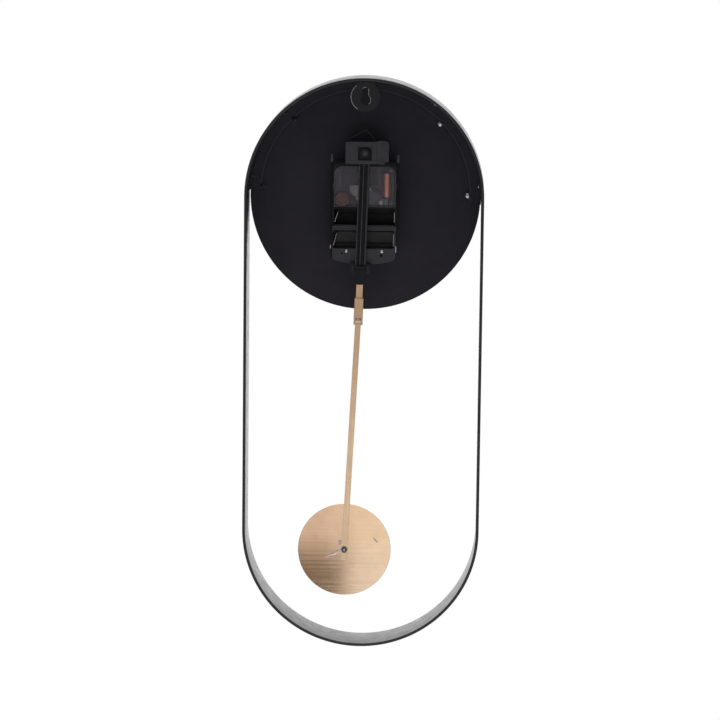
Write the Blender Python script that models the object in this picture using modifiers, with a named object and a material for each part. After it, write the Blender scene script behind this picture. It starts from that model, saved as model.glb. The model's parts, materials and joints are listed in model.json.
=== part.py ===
"""Pendulum wall clock: a flat metal hoop that holds a round dial, a quartz movement and a swinging pendulum.

Metres, +Z up, front towards -Y, wall side towards +Y. The wall is the plane y = 0, which the hoop's rear
edge rests on, and the origin is the top of the keyhole slot, where the neck of the wall screw bears.
A "depth" is a distance forward from the wall, so a point at depth d has y = -d. Outlines are drawn in the
XZ plane as seen from the front. Everything on the dial's axis is measured from the dial's centre.
"""

import math

import bmesh
import bpy
from mathutils import Matrix

MM = 0.001
GAP = 0.3 * MM  # clearance between neighbouring pieces
INSET = 0.05 * MM  # step between the faces of joined shapes, which never lie in one plane
INSET_ANGLE = math.radians(0.1)

# Hoop
HOOP_WIDTH = 200 * MM
HOOP_HEIGHT = 482 * MM
HOOP_DEPTH = 40 * MM
BAND_THICKNESS = 2.5 * MM
HOOP_TOP_Z = 8 * MM
HOOP_RADIUS = HOOP_WIDTH / 2
ARC_Z = HOOP_TOP_Z - HOOP_RADIUS
LOWER_ARC_Z = HOOP_TOP_Z - HOOP_HEIGHT + HOOP_RADIUS
BAND_INNER_RADIUS = HOOP_RADIUS - BAND_THICKNESS

# Dial and the bracket that holds it
DIAL_RADIUS = 97 * MM
DIAL_Z = ARC_Z - 1 * MM
DIAL_REAR = 38 * MM
DIAL_FRONT = 39.2 * MM
DIAL_HOLE_RADIUS = 4.4 * MM
BRACKET_INNER_RADIUS = 87.5 * MM
BRACKET_SHEET = 1.2 * MM
BRACKET_OUTER_RADIUS = BAND_INNER_RADIUS - GAP
BRACKET_FRONT = DIAL_REAR - GAP
BRACKET_REAR = 28 * MM
BRACKET_ENDS = (math.radians(2), math.radians(184))
EAR_RADIUS = 3.8 * MM
STUD_CIRCLE = 86.5 * MM
STUD_ANGLES = [math.radians(a) for a in (4, 46, 136, 180)]
SCREW_ANGLES = [math.radians(a) for a in (9, 45, 127, 175)]
FRAME_SCREW_DEPTH = 32 * MM
FIXING_SHANK_RADIUS = 1.1 * MM
FIXING_HOLE_RADIUS = FIXING_SHANK_RADIUS + GAP
FIXING_HEAD_RADIUS = 2.2 * MM
FIXING_HEAD = 1.3 * MM
BAND_POCKET = 1.6 * MM

# Hanger with its keyhole
HANGER_REAR = 1 * MM
HANGER_SHEET = 1.5 * MM
HANGER_RADIUS = 12.2 * MM
HANGER_CENTRE_Z = -7.7 * MM
HANGER_NECK_HALF = 8.25 * MM
HANGER_FLANGE_FRONT = 14 * MM
SLOT_HALF = 2.5 * MM
KEYHOLE_RADIUS = 4.3 * MM
KEYHOLE_Z = -10.1 * MM

# Quartz movement, centred on the dial's axis
CASE_HALF = 28 * MM
CASE_BOTTOM = -25.7 * MM
CASE_REAR = 20.5 * MM
CASE_FRONT = 36.5 * MM
CASE_FLOOR = 35 * MM
CASE_CORNER = 4 * MM
CASE_WALL = 1.6 * MM
WORKS_BOTTOM = -8.8 * MM
BAY_HALF = 25.5 * MM
BAY_TOP = -9.9 * MM
BAY_BOTTOM = -24.4 * MM
COVER_FRONT = 21.7 * MM

# Wheels: positions are (x, z) from the dial's axis; depths run from the rear face to the front face
MOTION_AXIS = (9.35 * MM, -0.9 * MM)
SETTING_AXIS = (18.7 * MM, -1.8 * MM)
THIRD_AXIS = (5.4 * MM, 6.6 * MM)
MIDDLE_AXIS = (-7.2 * MM, -1.6 * MM)
ROTOR_AXIS = (-13.6 * MM, -4.9 * MM)
CANNON_TEETH, MOTION_TEETH = 12, 36
MOTION_PINION_TEETH, HOUR_TEETH = 8, 32
LEAVES = 8
THIRD_TEETH, CENTRE_TEETH = 60, 64
SECOND_TEETH, MIDDLE_TEETH = 48, 40
KNOB_RADIUS = 6.2 * MM

# Shaft, nut and hands
BUSHING_RADIUS = 4 * MM
BUSHING_BORE = 2.6 * MM
BUSHING_FRONT = 42.2 * MM
HOUR_TUBE_RADIUS = 2.2 * MM
HOUR_TUBE_BORE = 1.3 * MM
MINUTE_ARBOR_RADIUS = 0.9 * MM
HOUR_HAND_LENGTH = 50 * MM
MINUTE_HAND_LENGTH = 74 * MM
SHOWN_HOURS, SHOWN_MINUTES = 10, 10

# Pendulum drive frame round the movement
FRAME_REAR = 18.6 * MM
FRAME_FRONT = 20.2 * MM
FRAME_HALF = 28.9 * MM
FRAME_TOP = 30 * MM
RAIL_INNER = 27.3 * MM
DRIVE_X = (-26.3 * MM, 28 * MM)
DRIVE_TOP = -26 * MM
DRIVE_REACH = 94 * MM
DRIVE_DEPTH = (18.4 * MM, 36.2 * MM)
DRIVE_BAY_X = (-25 * MM, 26.6 * MM)
DRIVE_BAY_Z = (-43.1 * MM, -27.6 * MM)
DRIVE_BAY_FLOOR = 34.5 * MM
DRIVE_SCREW_X = 14.8 * MM
DRIVE_SCREW_Z = -45.4 * MM
HEADER_X = (-9.6 * MM, 16.2 * MM)
HEADER_Z = (28.7 * MM, 47.2 * MM)
HEADER_DEPTH = (10.5 * MM, 30 * MM)
TAB_X = (-19.9 * MM, -8.6 * MM)
TAB_Z = (28.4 * MM, 48 * MM)
WINDOW_HALF = 5.7 * MM
LOOP_WIRE_RADIUS = 0.6 * MM
LOOP_DEPTH = 24 * MM
LOOP_LEGS = (14.4 * MM, -7.4 * MM)

# Pendulum: heights are below the swing pivot
PIVOT_Z = 37.4 * MM
PIN_RADIUS = 1 * MM
ARM_TILT = math.radians(-1.7)
ROD_TILT = math.radians(-1.1)
ARM_HALF = 4.4 * MM
ARM_DEPTH = (12.5 * MM, 17 * MM)
ARM_FLOOR = 14.8 * MM
ARM_END = -97.6 * MM
RIB = 1.6 * MM
CHANNEL_Z = (-95 * MM, -6.5 * MM)
MAGNET_Z = -88 * MM
HOOK_HALF = 9 * MM
HOOK_Z = (-102.6 * MM, -92.6 * MM)
HOOK_DEPTH = (12.2 * MM, 17.6 * MM)
TONGUE_HALF = 4.6 * MM
TONGUE_END = -110.6 * MM
HOOK_PIN_Z = -106.5 * MM
STRIP_HALF = 2.75 * MM
STRIP_END = -132.4 * MM
STRIP_DEPTH = (16 * MM, 16.8 * MM)
SLEEVE_Z = (-144.9 * MM, -122.2 * MM)
SLEEVE_HALF = 3.8 * MM
SLEEVE_DEPTH = (13.9 * MM, 17.8 * MM)
SLEEVE_WALL = 0.7 * MM
CLAMP_SCREW_Z = -140.4 * MM
ROD_HALF = 2.5 * MM
ROD_DEPTH = (14.9 * MM, 15.7 * MM)
ROD_LENGTH = 206.6 * MM
BOB_DROP = 197.8 * MM
BOB_RADIUS = 39.4 * MM
BOB_DEPTH = (16 * MM, 16.8 * MM)

# Colour, roughness and metallic value of each material
FINISHES = {
    "black_metal": ((0.012, 0.012, 0.014), 0.42, 0.6),
    "black_plastic": ((0.014, 0.014, 0.015), 0.4, 0.0),
    "white_plastic": ((0.7, 0.69, 0.65), 0.45, 0.0),
    "smoky_plastic": ((0.09, 0.08, 0.075), 0.12, 0.0),
    "red_plastic": ((0.32, 0.07, 0.04), 0.4, 0.0),
    "brass": ((0.78, 0.58, 0.33), 0.28, 1.0),
    "steel": ((0.55, 0.55, 0.56), 0.3, 1.0),
    "copper": ((0.62, 0.22, 0.09), 0.35, 1.0),
    "magnet": ((0.12, 0.12, 0.13), 0.4, 0.8),
    "circuit": ((0.08, 0.045, 0.02), 0.5, 0.0),
    "rubber": ((0.02, 0.02, 0.02), 0.85, 0.0),
}


# ---------------------------------------------------------------- scene and materials


def clear_scene():
    for old in list(bpy.data.objects):
        bpy.data.objects.remove(old, do_unlink=True)


def new_collection(name):
    collection = bpy.data.collections.new(name)
    bpy.context.scene.collection.children.link(collection)
    return collection


def new_material(name):
    colour, roughness, metallic = FINISHES[name]
    material = bpy.data.materials.new(name)
    material.use_nodes = True
    shader = material.node_tree.nodes["Principled BSDF"]
    shader.inputs["Base Color"].default_value = (*colour, 1)
    shader.inputs["Roughness"].default_value = roughness
    shader.inputs["Metallic"].default_value = metallic
    return material


clear_scene()
PARTS = new_collection("pendulum_wall_clock")
CUTTERS = new_collection("cutters")
CUTTERS.hide_render = True
MATERIALS = {name: new_material(name) for name in FINISHES}


def place(name, mesh, finish, at=(0, 0), parent=None, turn=0.0):
    """A part made of this mesh, with its origin at (x, z) and turned about the depth axis."""
    part = bpy.data.objects.new(name, mesh)
    part.location = (at[0], 0, at[1])
    part.rotation_euler = (0, turn, 0)
    part.parent = parent
    if finish is None:
        part.hide_render = True
        part.display_type = "WIRE"
        CUTTERS.objects.link(part)
        return part
    if not mesh.materials:
        mesh.materials.append(MATERIALS[finish])
    PARTS.objects.link(part)
    mesh.shade_smooth()
    mesh.set_sharp_from_angle(angle=math.radians(35))
    return part


def boolean(part, other, operation):
    modifier = part.modifiers.new(f"{operation.lower()} {other.name}", "BOOLEAN")
    modifier.operation = operation
    modifier.object = other
    modifier.solver = "EXACT"


def cut(part, *cutters):
    for cutter in cutters:
        boolean(part, cutter, "DIFFERENCE")


def join(part, *others):
    for other in others:
        boolean(part, other, "UNION")


def round_edges(part, width, segments=2):
    bevel = part.modifiers.new("rounded edges", "BEVEL")
    bevel.width = width
    bevel.segments = segments
    bevel.limit_method = "ANGLE"
    bevel.angle_limit = math.radians(40)


# ---------------------------------------------------------------- meshes


def mesh_from(name, build):
    bm = bmesh.new()
    build(bm)
    mesh = bpy.data.meshes.new(name)
    bm.to_mesh(mesh)
    bm.free()
    return mesh


def block_mesh(name, x, z, depth):
    size = (x[1] - x[0], depth[1] - depth[0], z[1] - z[0])
    middle = ((x[0] + x[1]) / 2, -(depth[0] + depth[1]) / 2, (z[0] + z[1]) / 2)
    shape = Matrix.Translation(middle) @ Matrix.Diagonal((*size, 1))
    return mesh_from(name, lambda bm: bmesh.ops.create_cube(bm, size=1, matrix=shape))


def add_cylinder(bm, radius, depth, at=(0, 0), segments=24):
    length = depth[1] - depth[0]
    middle = Matrix.Translation((at[0], -(depth[0] + depth[1]) / 2, at[1]))
    bmesh.ops.create_cone(
        bm,
        cap_ends=True,
        segments=segments,
        radius1=radius,
        radius2=radius,
        depth=length,
        matrix=middle @ Matrix.Rotation(math.pi / 2, 4, "X"),
    )


def cylinder_mesh(name, radius, depth, at=(0, 0), segments=24):
    return mesh_from(name, lambda bm: add_cylinder(bm, radius, depth, at, segments))


def cylinders_mesh(name, radius, depth, places, segments=24):
    def build(bm):
        for at in places:
            add_cylinder(bm, radius, depth, at, segments)

    return mesh_from(name, build)


def plate_mesh(name, loops, depth):
    """A flat plate with these closed outlines, the first one outside and the rest holes."""
    curve = bpy.data.curves.new(name, "CURVE")
    curve.dimensions = "2D"
    curve.fill_mode = "BOTH"
    curve.extrude = (depth[1] - depth[0]) / 2
    for points in loops:
        spline = curve.splines.new("POLY")
        spline.points.add(len(points) - 1)
        for point, (x, z) in zip(spline.points, points):
            point.co = (x, z, 0, 1)
        spline.use_cyclic_u = True
    guide = bpy.data.objects.new(f"{name} outline", curve)
    bpy.context.scene.collection.objects.link(guide)
    upright = Matrix.Rotation(math.pi / 2, 4, "X")
    guide.matrix_world = Matrix.Translation((0, -(depth[0] + depth[1]) / 2, 0)) @ upright
    bpy.context.view_layer.update()
    evaluated = guide.evaluated_get(bpy.context.evaluated_depsgraph_get())
    mesh = bpy.data.meshes.new_from_object(evaluated)
    mesh.name = name
    mesh.transform(guide.matrix_world)
    bpy.data.objects.remove(guide)
    bpy.data.curves.remove(curve)
    bm = bmesh.new()
    bm.from_mesh(mesh)
    bmesh.ops.remove_doubles(bm, verts=bm.verts, dist=0.001 * MM)
    bmesh.ops.recalc_face_normals(bm, faces=bm.faces)
    bm.to_mesh(mesh)
    bm.free()
    return mesh


def turned(name, profile, finish, steps=16, **placing):
    """A part turned about the depth axis from (radius, depth) points, which run from its rear to its front."""
    mesh = bpy.data.meshes.new(name)
    corners = [(radius, -depth, 0) for radius, depth in profile]
    edges = [(i, i + 1) for i in range(len(corners) - 1)]
    if profile[0][0]:
        edges.append((len(corners) - 1, 0))
    mesh.from_pydata(corners, edges, [])
    part = place(name, mesh, finish, **placing)
    screw = part.modifiers.new("turned", "SCREW")
    screw.axis = "Y"
    screw.steps = steps
    screw.render_steps = steps
    screw.use_merge_vertices = True
    screw.merge_threshold = 0.001 * MM
    return part


# ---------------------------------------------------------------- outlines


def arc(radius, start, end, count, centre=(0, 0)):
    steps = [start + (end - start) * i / count for i in range(count + 1)]
    return [(centre[0] + radius * math.cos(a), centre[1] + radius * math.sin(a)) for a in steps]


def circle(radius, count=24, centre=(0, 0)):
    return arc(radius, 0, 2 * math.pi, count, centre)[:-1]


def sector(inner, outer, ends, count, centre=(0, 0)):
    return arc(outer, *ends, count, centre) + arc(inner, *reversed(ends), count, centre)


def rounded_box(x, z, radius, count=4):
    """A rectangle with round corners. radius is one value, or four that run anticlockwise from bottom left."""
    radii = radius if isinstance(radius, tuple) else (radius,) * 4
    corners = ((x[0], z[0], 1, 1), (x[1], z[0], -1, 1), (x[1], z[1], -1, -1), (x[0], z[1], 1, -1))
    points = []
    for i, (corner, r) in enumerate(zip(corners, radii)):
        start = math.pi + i * math.pi / 2
        centre = (corner[0] + corner[2] * r, corner[1] + corner[3] * r)
        points += arc(r, start, start + math.pi / 2, count, centre)
    return points


def stadium(offset, count=48):
    radius = HOOP_RADIUS - offset
    upper = arc(radius, 0, math.pi, count, (0, ARC_Z))
    lower = arc(radius, math.pi, 2 * math.pi, count, (0, LOWER_ARC_Z))
    return upper + lower


def gear(teeth, module, phase, tip=0.0):
    """A gear's outline with a tooth centred on the angle phase. tip is a tooth tip's share of the pitch."""
    pitch = 2 * math.pi / teeth
    outer = module * (teeth / 2 + 0.8)
    root = module * (teeth / 2 - 1.05)
    half_base = 0.27 if tip else 0.34
    points = []
    for i in range(teeth):
        middle = phase + i * pitch
        tips = (-tip / 2, tip / 2) if tip else (0.0,)
        points.append((root, middle - half_base * pitch))
        points += [(outer, middle + share * pitch) for share in tips]
        points.append((root, middle + half_base * pitch))
    return [(r * math.cos(a), r * math.sin(a)) for r, a in points]


def module_for(start, end, teeth, more_teeth):
    return 2 * math.dist(start, end) / (teeth + more_teeth)


def direction(start, end):
    return math.atan2(end[1] - start[1], end[0] - start[0])


def gap_towards(angle, teeth):
    return angle + math.pi / teeth


def on_dial(x, z):
    return (x, z + DIAL_Z)


# ---------------------------------------------------------------- hoop, dial and hanger


def radial_frame(angle, radius, depth):
    """The place and direction of a fixing that points outwards from the upper arc's centre."""
    x = radius * math.cos(angle)
    z = ARC_Z + radius * math.sin(angle)
    outward = Matrix.Rotation(math.pi / 2 - angle, 4, "Y")
    return Matrix.Translation((x, -depth, z)) @ outward


def radial_holes(name, inner, outer):
    def build(bm):
        for angle in SCREW_ANGLES:
            bmesh.ops.create_cone(
                bm,
                cap_ends=True,
                segments=12,
                radius1=FIXING_HOLE_RADIUS,
                radius2=FIXING_HOLE_RADIUS,
                depth=outer - inner,
                matrix=radial_frame(angle, (inner + outer) / 2, FRAME_SCREW_DEPTH),
            )

    return place(name, mesh_from(name, build), None)


def make_hoop():
    hoop_depth = (0, HOOP_DEPTH)
    mesh = plate_mesh("hoop_frame", [stadium(0), stadium(BAND_THICKNESS)], hoop_depth)
    hoop = place("hoop_frame", mesh, "black_metal")
    round_edges(hoop, 0.35 * MM, 1)
    inner = BAND_INNER_RADIUS - 1 * MM
    cut(hoop, radial_holes("band_pockets", inner, BAND_INNER_RADIUS + BAND_POCKET))


def make_dial():
    loops = [circle(DIAL_RADIUS, 96), circle(DIAL_HOLE_RADIUS)]
    mesh = plate_mesh("dial_plate", loops, (DIAL_REAR, DIAL_FRONT))
    place("dial_plate", mesh, "black_metal", at=(0, DIAL_Z))


def stud_places():
    return [
        (STUD_CIRCLE * math.cos(a), ARC_Z + STUD_CIRCLE * math.sin(a)) for a in STUD_ANGLES
    ]


def make_bracket():
    flange_depth = (BRACKET_FRONT - BRACKET_SHEET, BRACKET_FRONT)
    centre = (0, ARC_Z)
    flange_radius = BRACKET_OUTER_RADIUS - BRACKET_SHEET / 2
    flange = sector(BRACKET_INNER_RADIUS, flange_radius, BRACKET_ENDS, 36, centre)
    bracket = place("dial_bracket", plate_mesh("dial_bracket", [flange], flange_depth), "black_metal")
    leg_radius = BRACKET_OUTER_RADIUS - BRACKET_SHEET
    leg_ends = (BRACKET_ENDS[0] + INSET_ANGLE, BRACKET_ENDS[1] - INSET_ANGLE)
    leg = sector(leg_radius, BRACKET_OUTER_RADIUS, leg_ends, 36, centre)
    leg_depth = (BRACKET_REAR, BRACKET_FRONT - BRACKET_SHEET / 2)
    ear_depth = (flange_depth[0] + INSET, flange_depth[1] - INSET)
    ears = cylinders_mesh("bracket_ears", EAR_RADIUS, ear_depth, stud_places(), 16)
    join(bracket, place("bracket_leg", plate_mesh("bracket_leg", [leg], leg_depth), None))
    join(bracket, place("bracket_ears", ears, None))
    holes_depth = (BRACKET_REAR, DIAL_FRONT)
    holes = cylinders_mesh("stud_holes", FIXING_HOLE_RADIUS, holes_depth, stud_places(), 12)
    cut(bracket, place("stud_holes", holes, None))
    cut(bracket, radial_holes("leg_holes", leg_radius - 1 * MM, BAND_INNER_RADIUS))


def fixing_profile(head_start, length):
    """A round head and a shank, from the head's outer face to the shank's tip."""
    under_head = head_start + FIXING_HEAD
    edge = 0.4 * MM
    return [
        (0, head_start),
        (FIXING_HEAD_RADIUS - edge, head_start),
        (FIXING_HEAD_RADIUS, head_start + edge),
        (FIXING_HEAD_RADIUS, under_head),
        (FIXING_SHANK_RADIUS, under_head),
        (FIXING_SHANK_RADIUS, head_start + length),
        (0, head_start + length),
    ]


def make_fixings():
    stud_head = BRACKET_FRONT - BRACKET_SHEET - GAP - FIXING_HEAD
    profile = fixing_profile(stud_head, BRACKET_FRONT - stud_head)
    for number, at in enumerate(stud_places(), 1):
        turned(f"dial_stud_{number}", profile, "steel", steps=12, at=at)
    head_radius = BRACKET_OUTER_RADIUS - BRACKET_SHEET - GAP - FIXING_HEAD
    reach = BAND_INNER_RADIUS + BAND_POCKET - GAP - head_radius
    for number, angle in enumerate(SCREW_ANGLES, 1):
        screw = turned(f"frame_screw_{number}", fixing_profile(0, reach), "steel", steps=12)
        lay_down = Matrix.Rotation(-math.pi / 2, 4, "X")
        screw.matrix_world = radial_frame(angle, head_radius, FRAME_SCREW_DEPTH) @ lay_down


def make_hanger():
    """The tab that hangs on the wall screw, with a flange that follows the inside of the band."""
    neck_top = ARC_Z + BRACKET_OUTER_RADIUS - 2 * GAP
    start = math.pi - math.asin(0.78)
    tab = arc(HANGER_RADIUS, start, 2 * math.pi + math.asin(0.78), 30, (0, HANGER_CENTRE_Z))
    tab += [(HANGER_NECK_HALF, neck_top), (-HANGER_NECK_HALF, neck_top)]
    mouth = math.asin(SLOT_HALF / KEYHOLE_RADIUS)
    keyhole = arc(SLOT_HALF, 0, math.pi, 8, (0, -SLOT_HALF))
    lower = (math.pi / 2 + mouth, 2.5 * math.pi - mouth)
    keyhole += arc(KEYHOLE_RADIUS, *lower, 20, (0, KEYHOLE_Z))
    depth = (HANGER_REAR, HANGER_REAR + HANGER_SHEET)
    hanger = place("hanger_plate", plate_mesh("hanger_plate", [tab, keyhole], depth), "black_metal")
    half = HANGER_NECK_HALF / BRACKET_OUTER_RADIUS
    ends = (math.pi / 2 - half, math.pi / 2 + half)
    flange = sector(BRACKET_OUTER_RADIUS - HANGER_SHEET, BRACKET_OUTER_RADIUS, ends, 6, (0, ARC_Z))
    flange_depth = (HANGER_REAR + 0.1 * MM, HANGER_FLANGE_FRONT)
    join(hanger, place("hanger_flange", plate_mesh("hanger_flange", [flange], flange_depth), None))


# ---------------------------------------------------------------- movement


def make_case():
    outline = rounded_box((-CASE_HALF, CASE_HALF), (CASE_BOTTOM, CASE_HALF), CASE_CORNER)
    mesh = plate_mesh("movement_case", [outline], (CASE_REAR, CASE_FRONT))
    case = place("movement_case", mesh, "black_plastic", at=(0, DIAL_Z))
    inner = CASE_HALF - CASE_WALL
    depth = (CASE_REAR - 1 * MM, CASE_FLOOR)
    works = rounded_box((-inner, inner), (WORKS_BOTTOM, inner), 3 * MM, 3)
    bay = rounded_box((-BAY_HALF, BAY_HALF), (BAY_BOTTOM, BAY_TOP), 1 * MM, 2)
    through = (CASE_FLOOR - 1 * MM, CASE_FRONT + 1 * MM)
    shaft = cylinder_mesh("shaft_hole", BUSHING_RADIUS + GAP, through)
    at = (0, DIAL_Z)
    cut(case, place("works_hollow", plate_mesh("works_hollow", [works], depth), None, at=at))
    cut(case, place("bay_hollow", plate_mesh("bay_hollow", [bay], depth), None, at=at))
    cut(case, place("shaft_hole", shaft, None, at=at))


def make_cover():
    """The clear cover, with a notch in its lower edge for the setting knob."""
    inner = CASE_HALF - CASE_WALL - GAP
    outline = rounded_box((-inner, inner), (WORKS_BOTTOM + GAP, inner), 2.8 * MM, 3)
    mesh = plate_mesh("movement_cover", [outline], (CASE_REAR, COVER_FRONT))
    cover = place("movement_cover", mesh, "smoky_plastic", at=(0, DIAL_Z))
    through = (CASE_REAR - 1 * MM, COVER_FRONT + 1 * MM)
    notch = cylinder_mesh("knob_notch", KNOB_RADIUS + 0.4 * MM, through, SETTING_AXIS, 32)
    cut(cover, place("knob_notch", notch, None, at=(0, DIAL_Z)))


def make_train_plate():
    outline = rounded_box((-24 * MM, 25.6 * MM), (-7.4 * MM, 25 * MM), 2 * MM, 3)
    loops = [
        outline,
        circle(1.3 * MM, 16),
        circle(1.5 * MM, 16, SETTING_AXIS),
    ]
    mesh = plate_mesh("train_plate", loops, (31.2 * MM, 32 * MM))
    plate = place("train_plate", mesh, "white_plastic", at=(0, DIAL_Z))
    corners = [(-22 * MM, 22.6 * MM), (22.6 * MM, 22.6 * MM), (23.6 * MM, -5.6 * MM), (-22 * MM, -5.6 * MM)]
    posts = cylinders_mesh("plate_posts", 1.3 * MM, (22 * MM, 31.4 * MM), corners, 12)
    join(plate, place("plate_posts", posts, None, at=(0, DIAL_Z)))


def make_circuit():
    """The circuit board with its crystal, and the stepping motor's coil and stator."""
    at = (0, DIAL_Z)
    outline = rounded_box((-11 * MM, 19 * MM), (9.5 * MM, 24 * MM), 1 * MM, 2)
    mesh = plate_mesh("circuit_board", [outline], (23 * MM, 23.8 * MM))
    place("circuit_board", mesh, "circuit", at=at)
    crystal = turned("crystal_can", [(0, 0), (1 * MM, 0), (1 * MM, 6 * MM), (0, 6 * MM)], "steel", steps=12)
    crystal.matrix_world = Matrix.Translation((8 * MM, -25.3 * MM, DIAL_Z + 21 * MM)) @ quarter_turn("Z")
    coil_x, coil_low, coil_high = -18.2 * MM, -0.4 * MM, 20 * MM
    length = coil_high - coil_low
    core, flange, cheek = 1.3 * MM, 4.1 * MM, 1 * MM
    spool = [
        (0, -cheek),
        (flange, -cheek),
        (flange, 0),
        (core, 0),
        (core, length),
        (flange, length),
        (flange, length + cheek),
        (0, length + cheek),
    ]
    upright = Matrix.Translation((coil_x, -26.3 * MM, DIAL_Z + coil_high)) @ quarter_turn("X")
    bobbin = turned("coil_bobbin", spool, "white_plastic", steps=20)
    bobbin.matrix_world = upright
    bore, outside = core + GAP, 3.8 * MM
    windings = [(bore, GAP), (outside, GAP), (outside, length - GAP), (bore, length - GAP)]
    winding = turned("coil_winding", windings, "copper", steps=20)
    winding.matrix_world = upright
    depth = (23.9 * MM, 24.9 * MM)
    bar = rounded_box((-19.4 * MM, ROTOR_AXIS[0]), (-6.9 * MM, -1.9 * MM), 0.8 * MM, 2)
    stator = place("stator", plate_mesh("stator", [circle(3 * MM, 24, ROTOR_AXIS)], depth), "steel", at=at)
    bar_depth = (depth[0] + 0.05 * MM, depth[1] - 0.05 * MM)
    join(stator, place("stator_bar", plate_mesh("stator_bar", [bar], bar_depth), None, at=at))
    hole = cylinder_mesh("rotor_hole", 2.1 * MM, (22 * MM, 27 * MM), ROTOR_AXIS)
    cut(stator, place("rotor_hole", hole, None, at=at))


def quarter_turn(axis):
    return Matrix.Rotation(math.pi / 2, 4, axis)


def make_wheel(name, axis, finish, rings, shaft):
    """A wheel on its arbor. rings are (outline, depth) pairs and shaft is (radius, depth)."""
    at = on_dial(*axis)
    outline, depth = rings[0]
    wheel = place(name, plate_mesh(name, [outline], depth), finish, at=at)
    for number, (outline, depth) in enumerate(rings[1:], 1):
        more = f"{name}_ring_{number}"
        join(wheel, place(more, plate_mesh(more, [outline], depth), None, at=at))
    radius, depth = shaft
    arbor = cylinder_mesh(f"{name}_arbor", radius, depth, segments=12)
    join(wheel, place(f"{name}_arbor", arbor, None, at=at))
    return wheel


def bore(wheel, radius, depth, axis=(0, 0)):
    hole = cylinder_mesh(f"{wheel.name}_bore", radius, depth)
    cut(wheel, place(f"{wheel.name}_bore", hole, None, at=on_dial(*axis)))


def depths(rear, front):
    return (rear * MM, front * MM)


def make_going_train():
    """From the stepping motor's rotor to the wheel that carries the minute arbor through a slipping clutch."""
    dial = (0.0, 0.0)
    fast = module_for(ROTOR_AXIS, MIDDLE_AXIS, LEAVES, MIDDLE_TEETH)
    middle = module_for(MIDDLE_AXIS, dial, LEAVES, SECOND_TEETH)
    slow = module_for(dial, THIRD_AXIS, LEAVES, THIRD_TEETH)
    last = module_for(dial, THIRD_AXIS, LEAVES, CENTRE_TEETH)
    to_rotor = direction(MIDDLE_AXIS, ROTOR_AXIS)
    to_middle = direction(dial, MIDDLE_AXIS)
    to_third = direction(dial, THIRD_AXIS)
    leaf = 0.14
    rotor = gear(LEAVES, fast, gap_towards(to_rotor + math.pi, LEAVES), leaf)
    magnet = circle(1.6 * MM, 20)
    rings = [(magnet, depths(23.2, 25.5)), (rotor, depths(25.4, 27))]
    make_wheel("rotor", ROTOR_AXIS, "magnet", rings, (0.4 * MM, depths(22.6, 28)))
    wheel = gear(MIDDLE_TEETH, fast, to_rotor)
    pinion = gear(LEAVES, middle, gap_towards(to_middle + math.pi, LEAVES), leaf)
    rings = [(wheel, depths(26, 26.7)), (pinion, depths(26.6, 28.4))]
    make_wheel("intermediate_wheel", MIDDLE_AXIS, "white_plastic", rings, (0.4 * MM, depths(25.4, 28.7)))
    wheel = gear(SECOND_TEETH, middle, to_middle)
    pinion = gear(LEAVES, slow, gap_towards(to_third, LEAVES), leaf)
    rings = [(wheel, depths(27.4, 28.1)), (pinion, depths(28, 29.7))]
    make_wheel("second_wheel", dial, "white_plastic", rings, (0.45 * MM, depths(24.4, 29.6)))
    wheel = gear(THIRD_TEETH, slow, to_third + math.pi)
    pinion = gear(LEAVES, last, gap_towards(to_third + math.pi, LEAVES), leaf)
    rings = [(wheel, depths(28.7, 29.4)), (pinion, depths(29.3, 30.8))]
    make_wheel("third_wheel", THIRD_AXIS, "white_plastic", rings, (0.45 * MM, depths(27.2, 30.9)))
    loops = [gear(CENTRE_TEETH, last, to_third), circle(1.2 * MM, 16)]
    mesh = plate_mesh("centre_wheel", loops, depths(30.1, 30.8))
    place("centre_wheel", mesh, "brass", at=on_dial(*dial))


def make_motion_work():
    """The 12 to 1 gears between the hands, and the wheel that sets them."""
    dial = (0.0, 0.0)
    first = module_for(dial, MOTION_AXIS, CANNON_TEETH, MOTION_TEETH)
    second = module_for(dial, MOTION_AXIS, MOTION_PINION_TEETH, HOUR_TEETH)
    out = direction(dial, MOTION_AXIS)
    leaf = 0.14
    cannon = gear(CANNON_TEETH, first, gap_towards(out, CANNON_TEETH), leaf)
    rings = [(cannon, depths(32.3, 33.1))]
    make_wheel("minute_arbor", dial, "steel", rings, (MINUTE_ARBOR_RADIUS, depths(30, 46.6)))
    wheel = gear(MOTION_TEETH, first, out + math.pi)
    pinion = gear(MOTION_PINION_TEETH, second, gap_towards(out + math.pi, MOTION_PINION_TEETH), leaf)
    rings = [(wheel, depths(32.35, 33)), (pinion, depths(32.9, 34.4))]
    make_wheel("minute_wheel", MOTION_AXIS, "white_plastic", rings, (0.6 * MM, depths(32.3, 34.6)))
    wheel = gear(HOUR_TEETH, second, out)
    tube = (HOUR_TUBE_RADIUS, depths(33.9, 43.9))
    hour = make_wheel("hour_wheel", dial, "white_plastic", [(wheel, depths(33.6, 34.3))], tube)
    bore(hour, HOUR_TUBE_BORE, depths(33, 45))
    setter = gear(CANNON_TEETH, first, gap_towards(out + math.pi, CANNON_TEETH), leaf)
    knob = [radius_at(KNOB_RADIUS, 0.25 * MM, 24, i) for i in range(48)]
    rings = [(knob, depths(19.6, 20.9)), (circle(2.2 * MM, 20), depths(18.9, 21.2)), (setter, depths(32.3, 33))]
    make_wheel("setting_wheel", SETTING_AXIS, "red_plastic", rings, (1 * MM, depths(19.2, 34.6)))


def radius_at(radius, groove, teeth, index):
    """Point number index on a knurled rim, which alternates between the radius and its grooves."""
    reach = radius - groove * (index % 2)
    angle = math.pi * index / teeth
    return (reach * math.cos(angle), reach * math.sin(angle))


def ring_profile(inner, outer, rear, front):
    return [(inner, rear), (outer, rear), (outer, front), (inner, front)]


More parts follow.
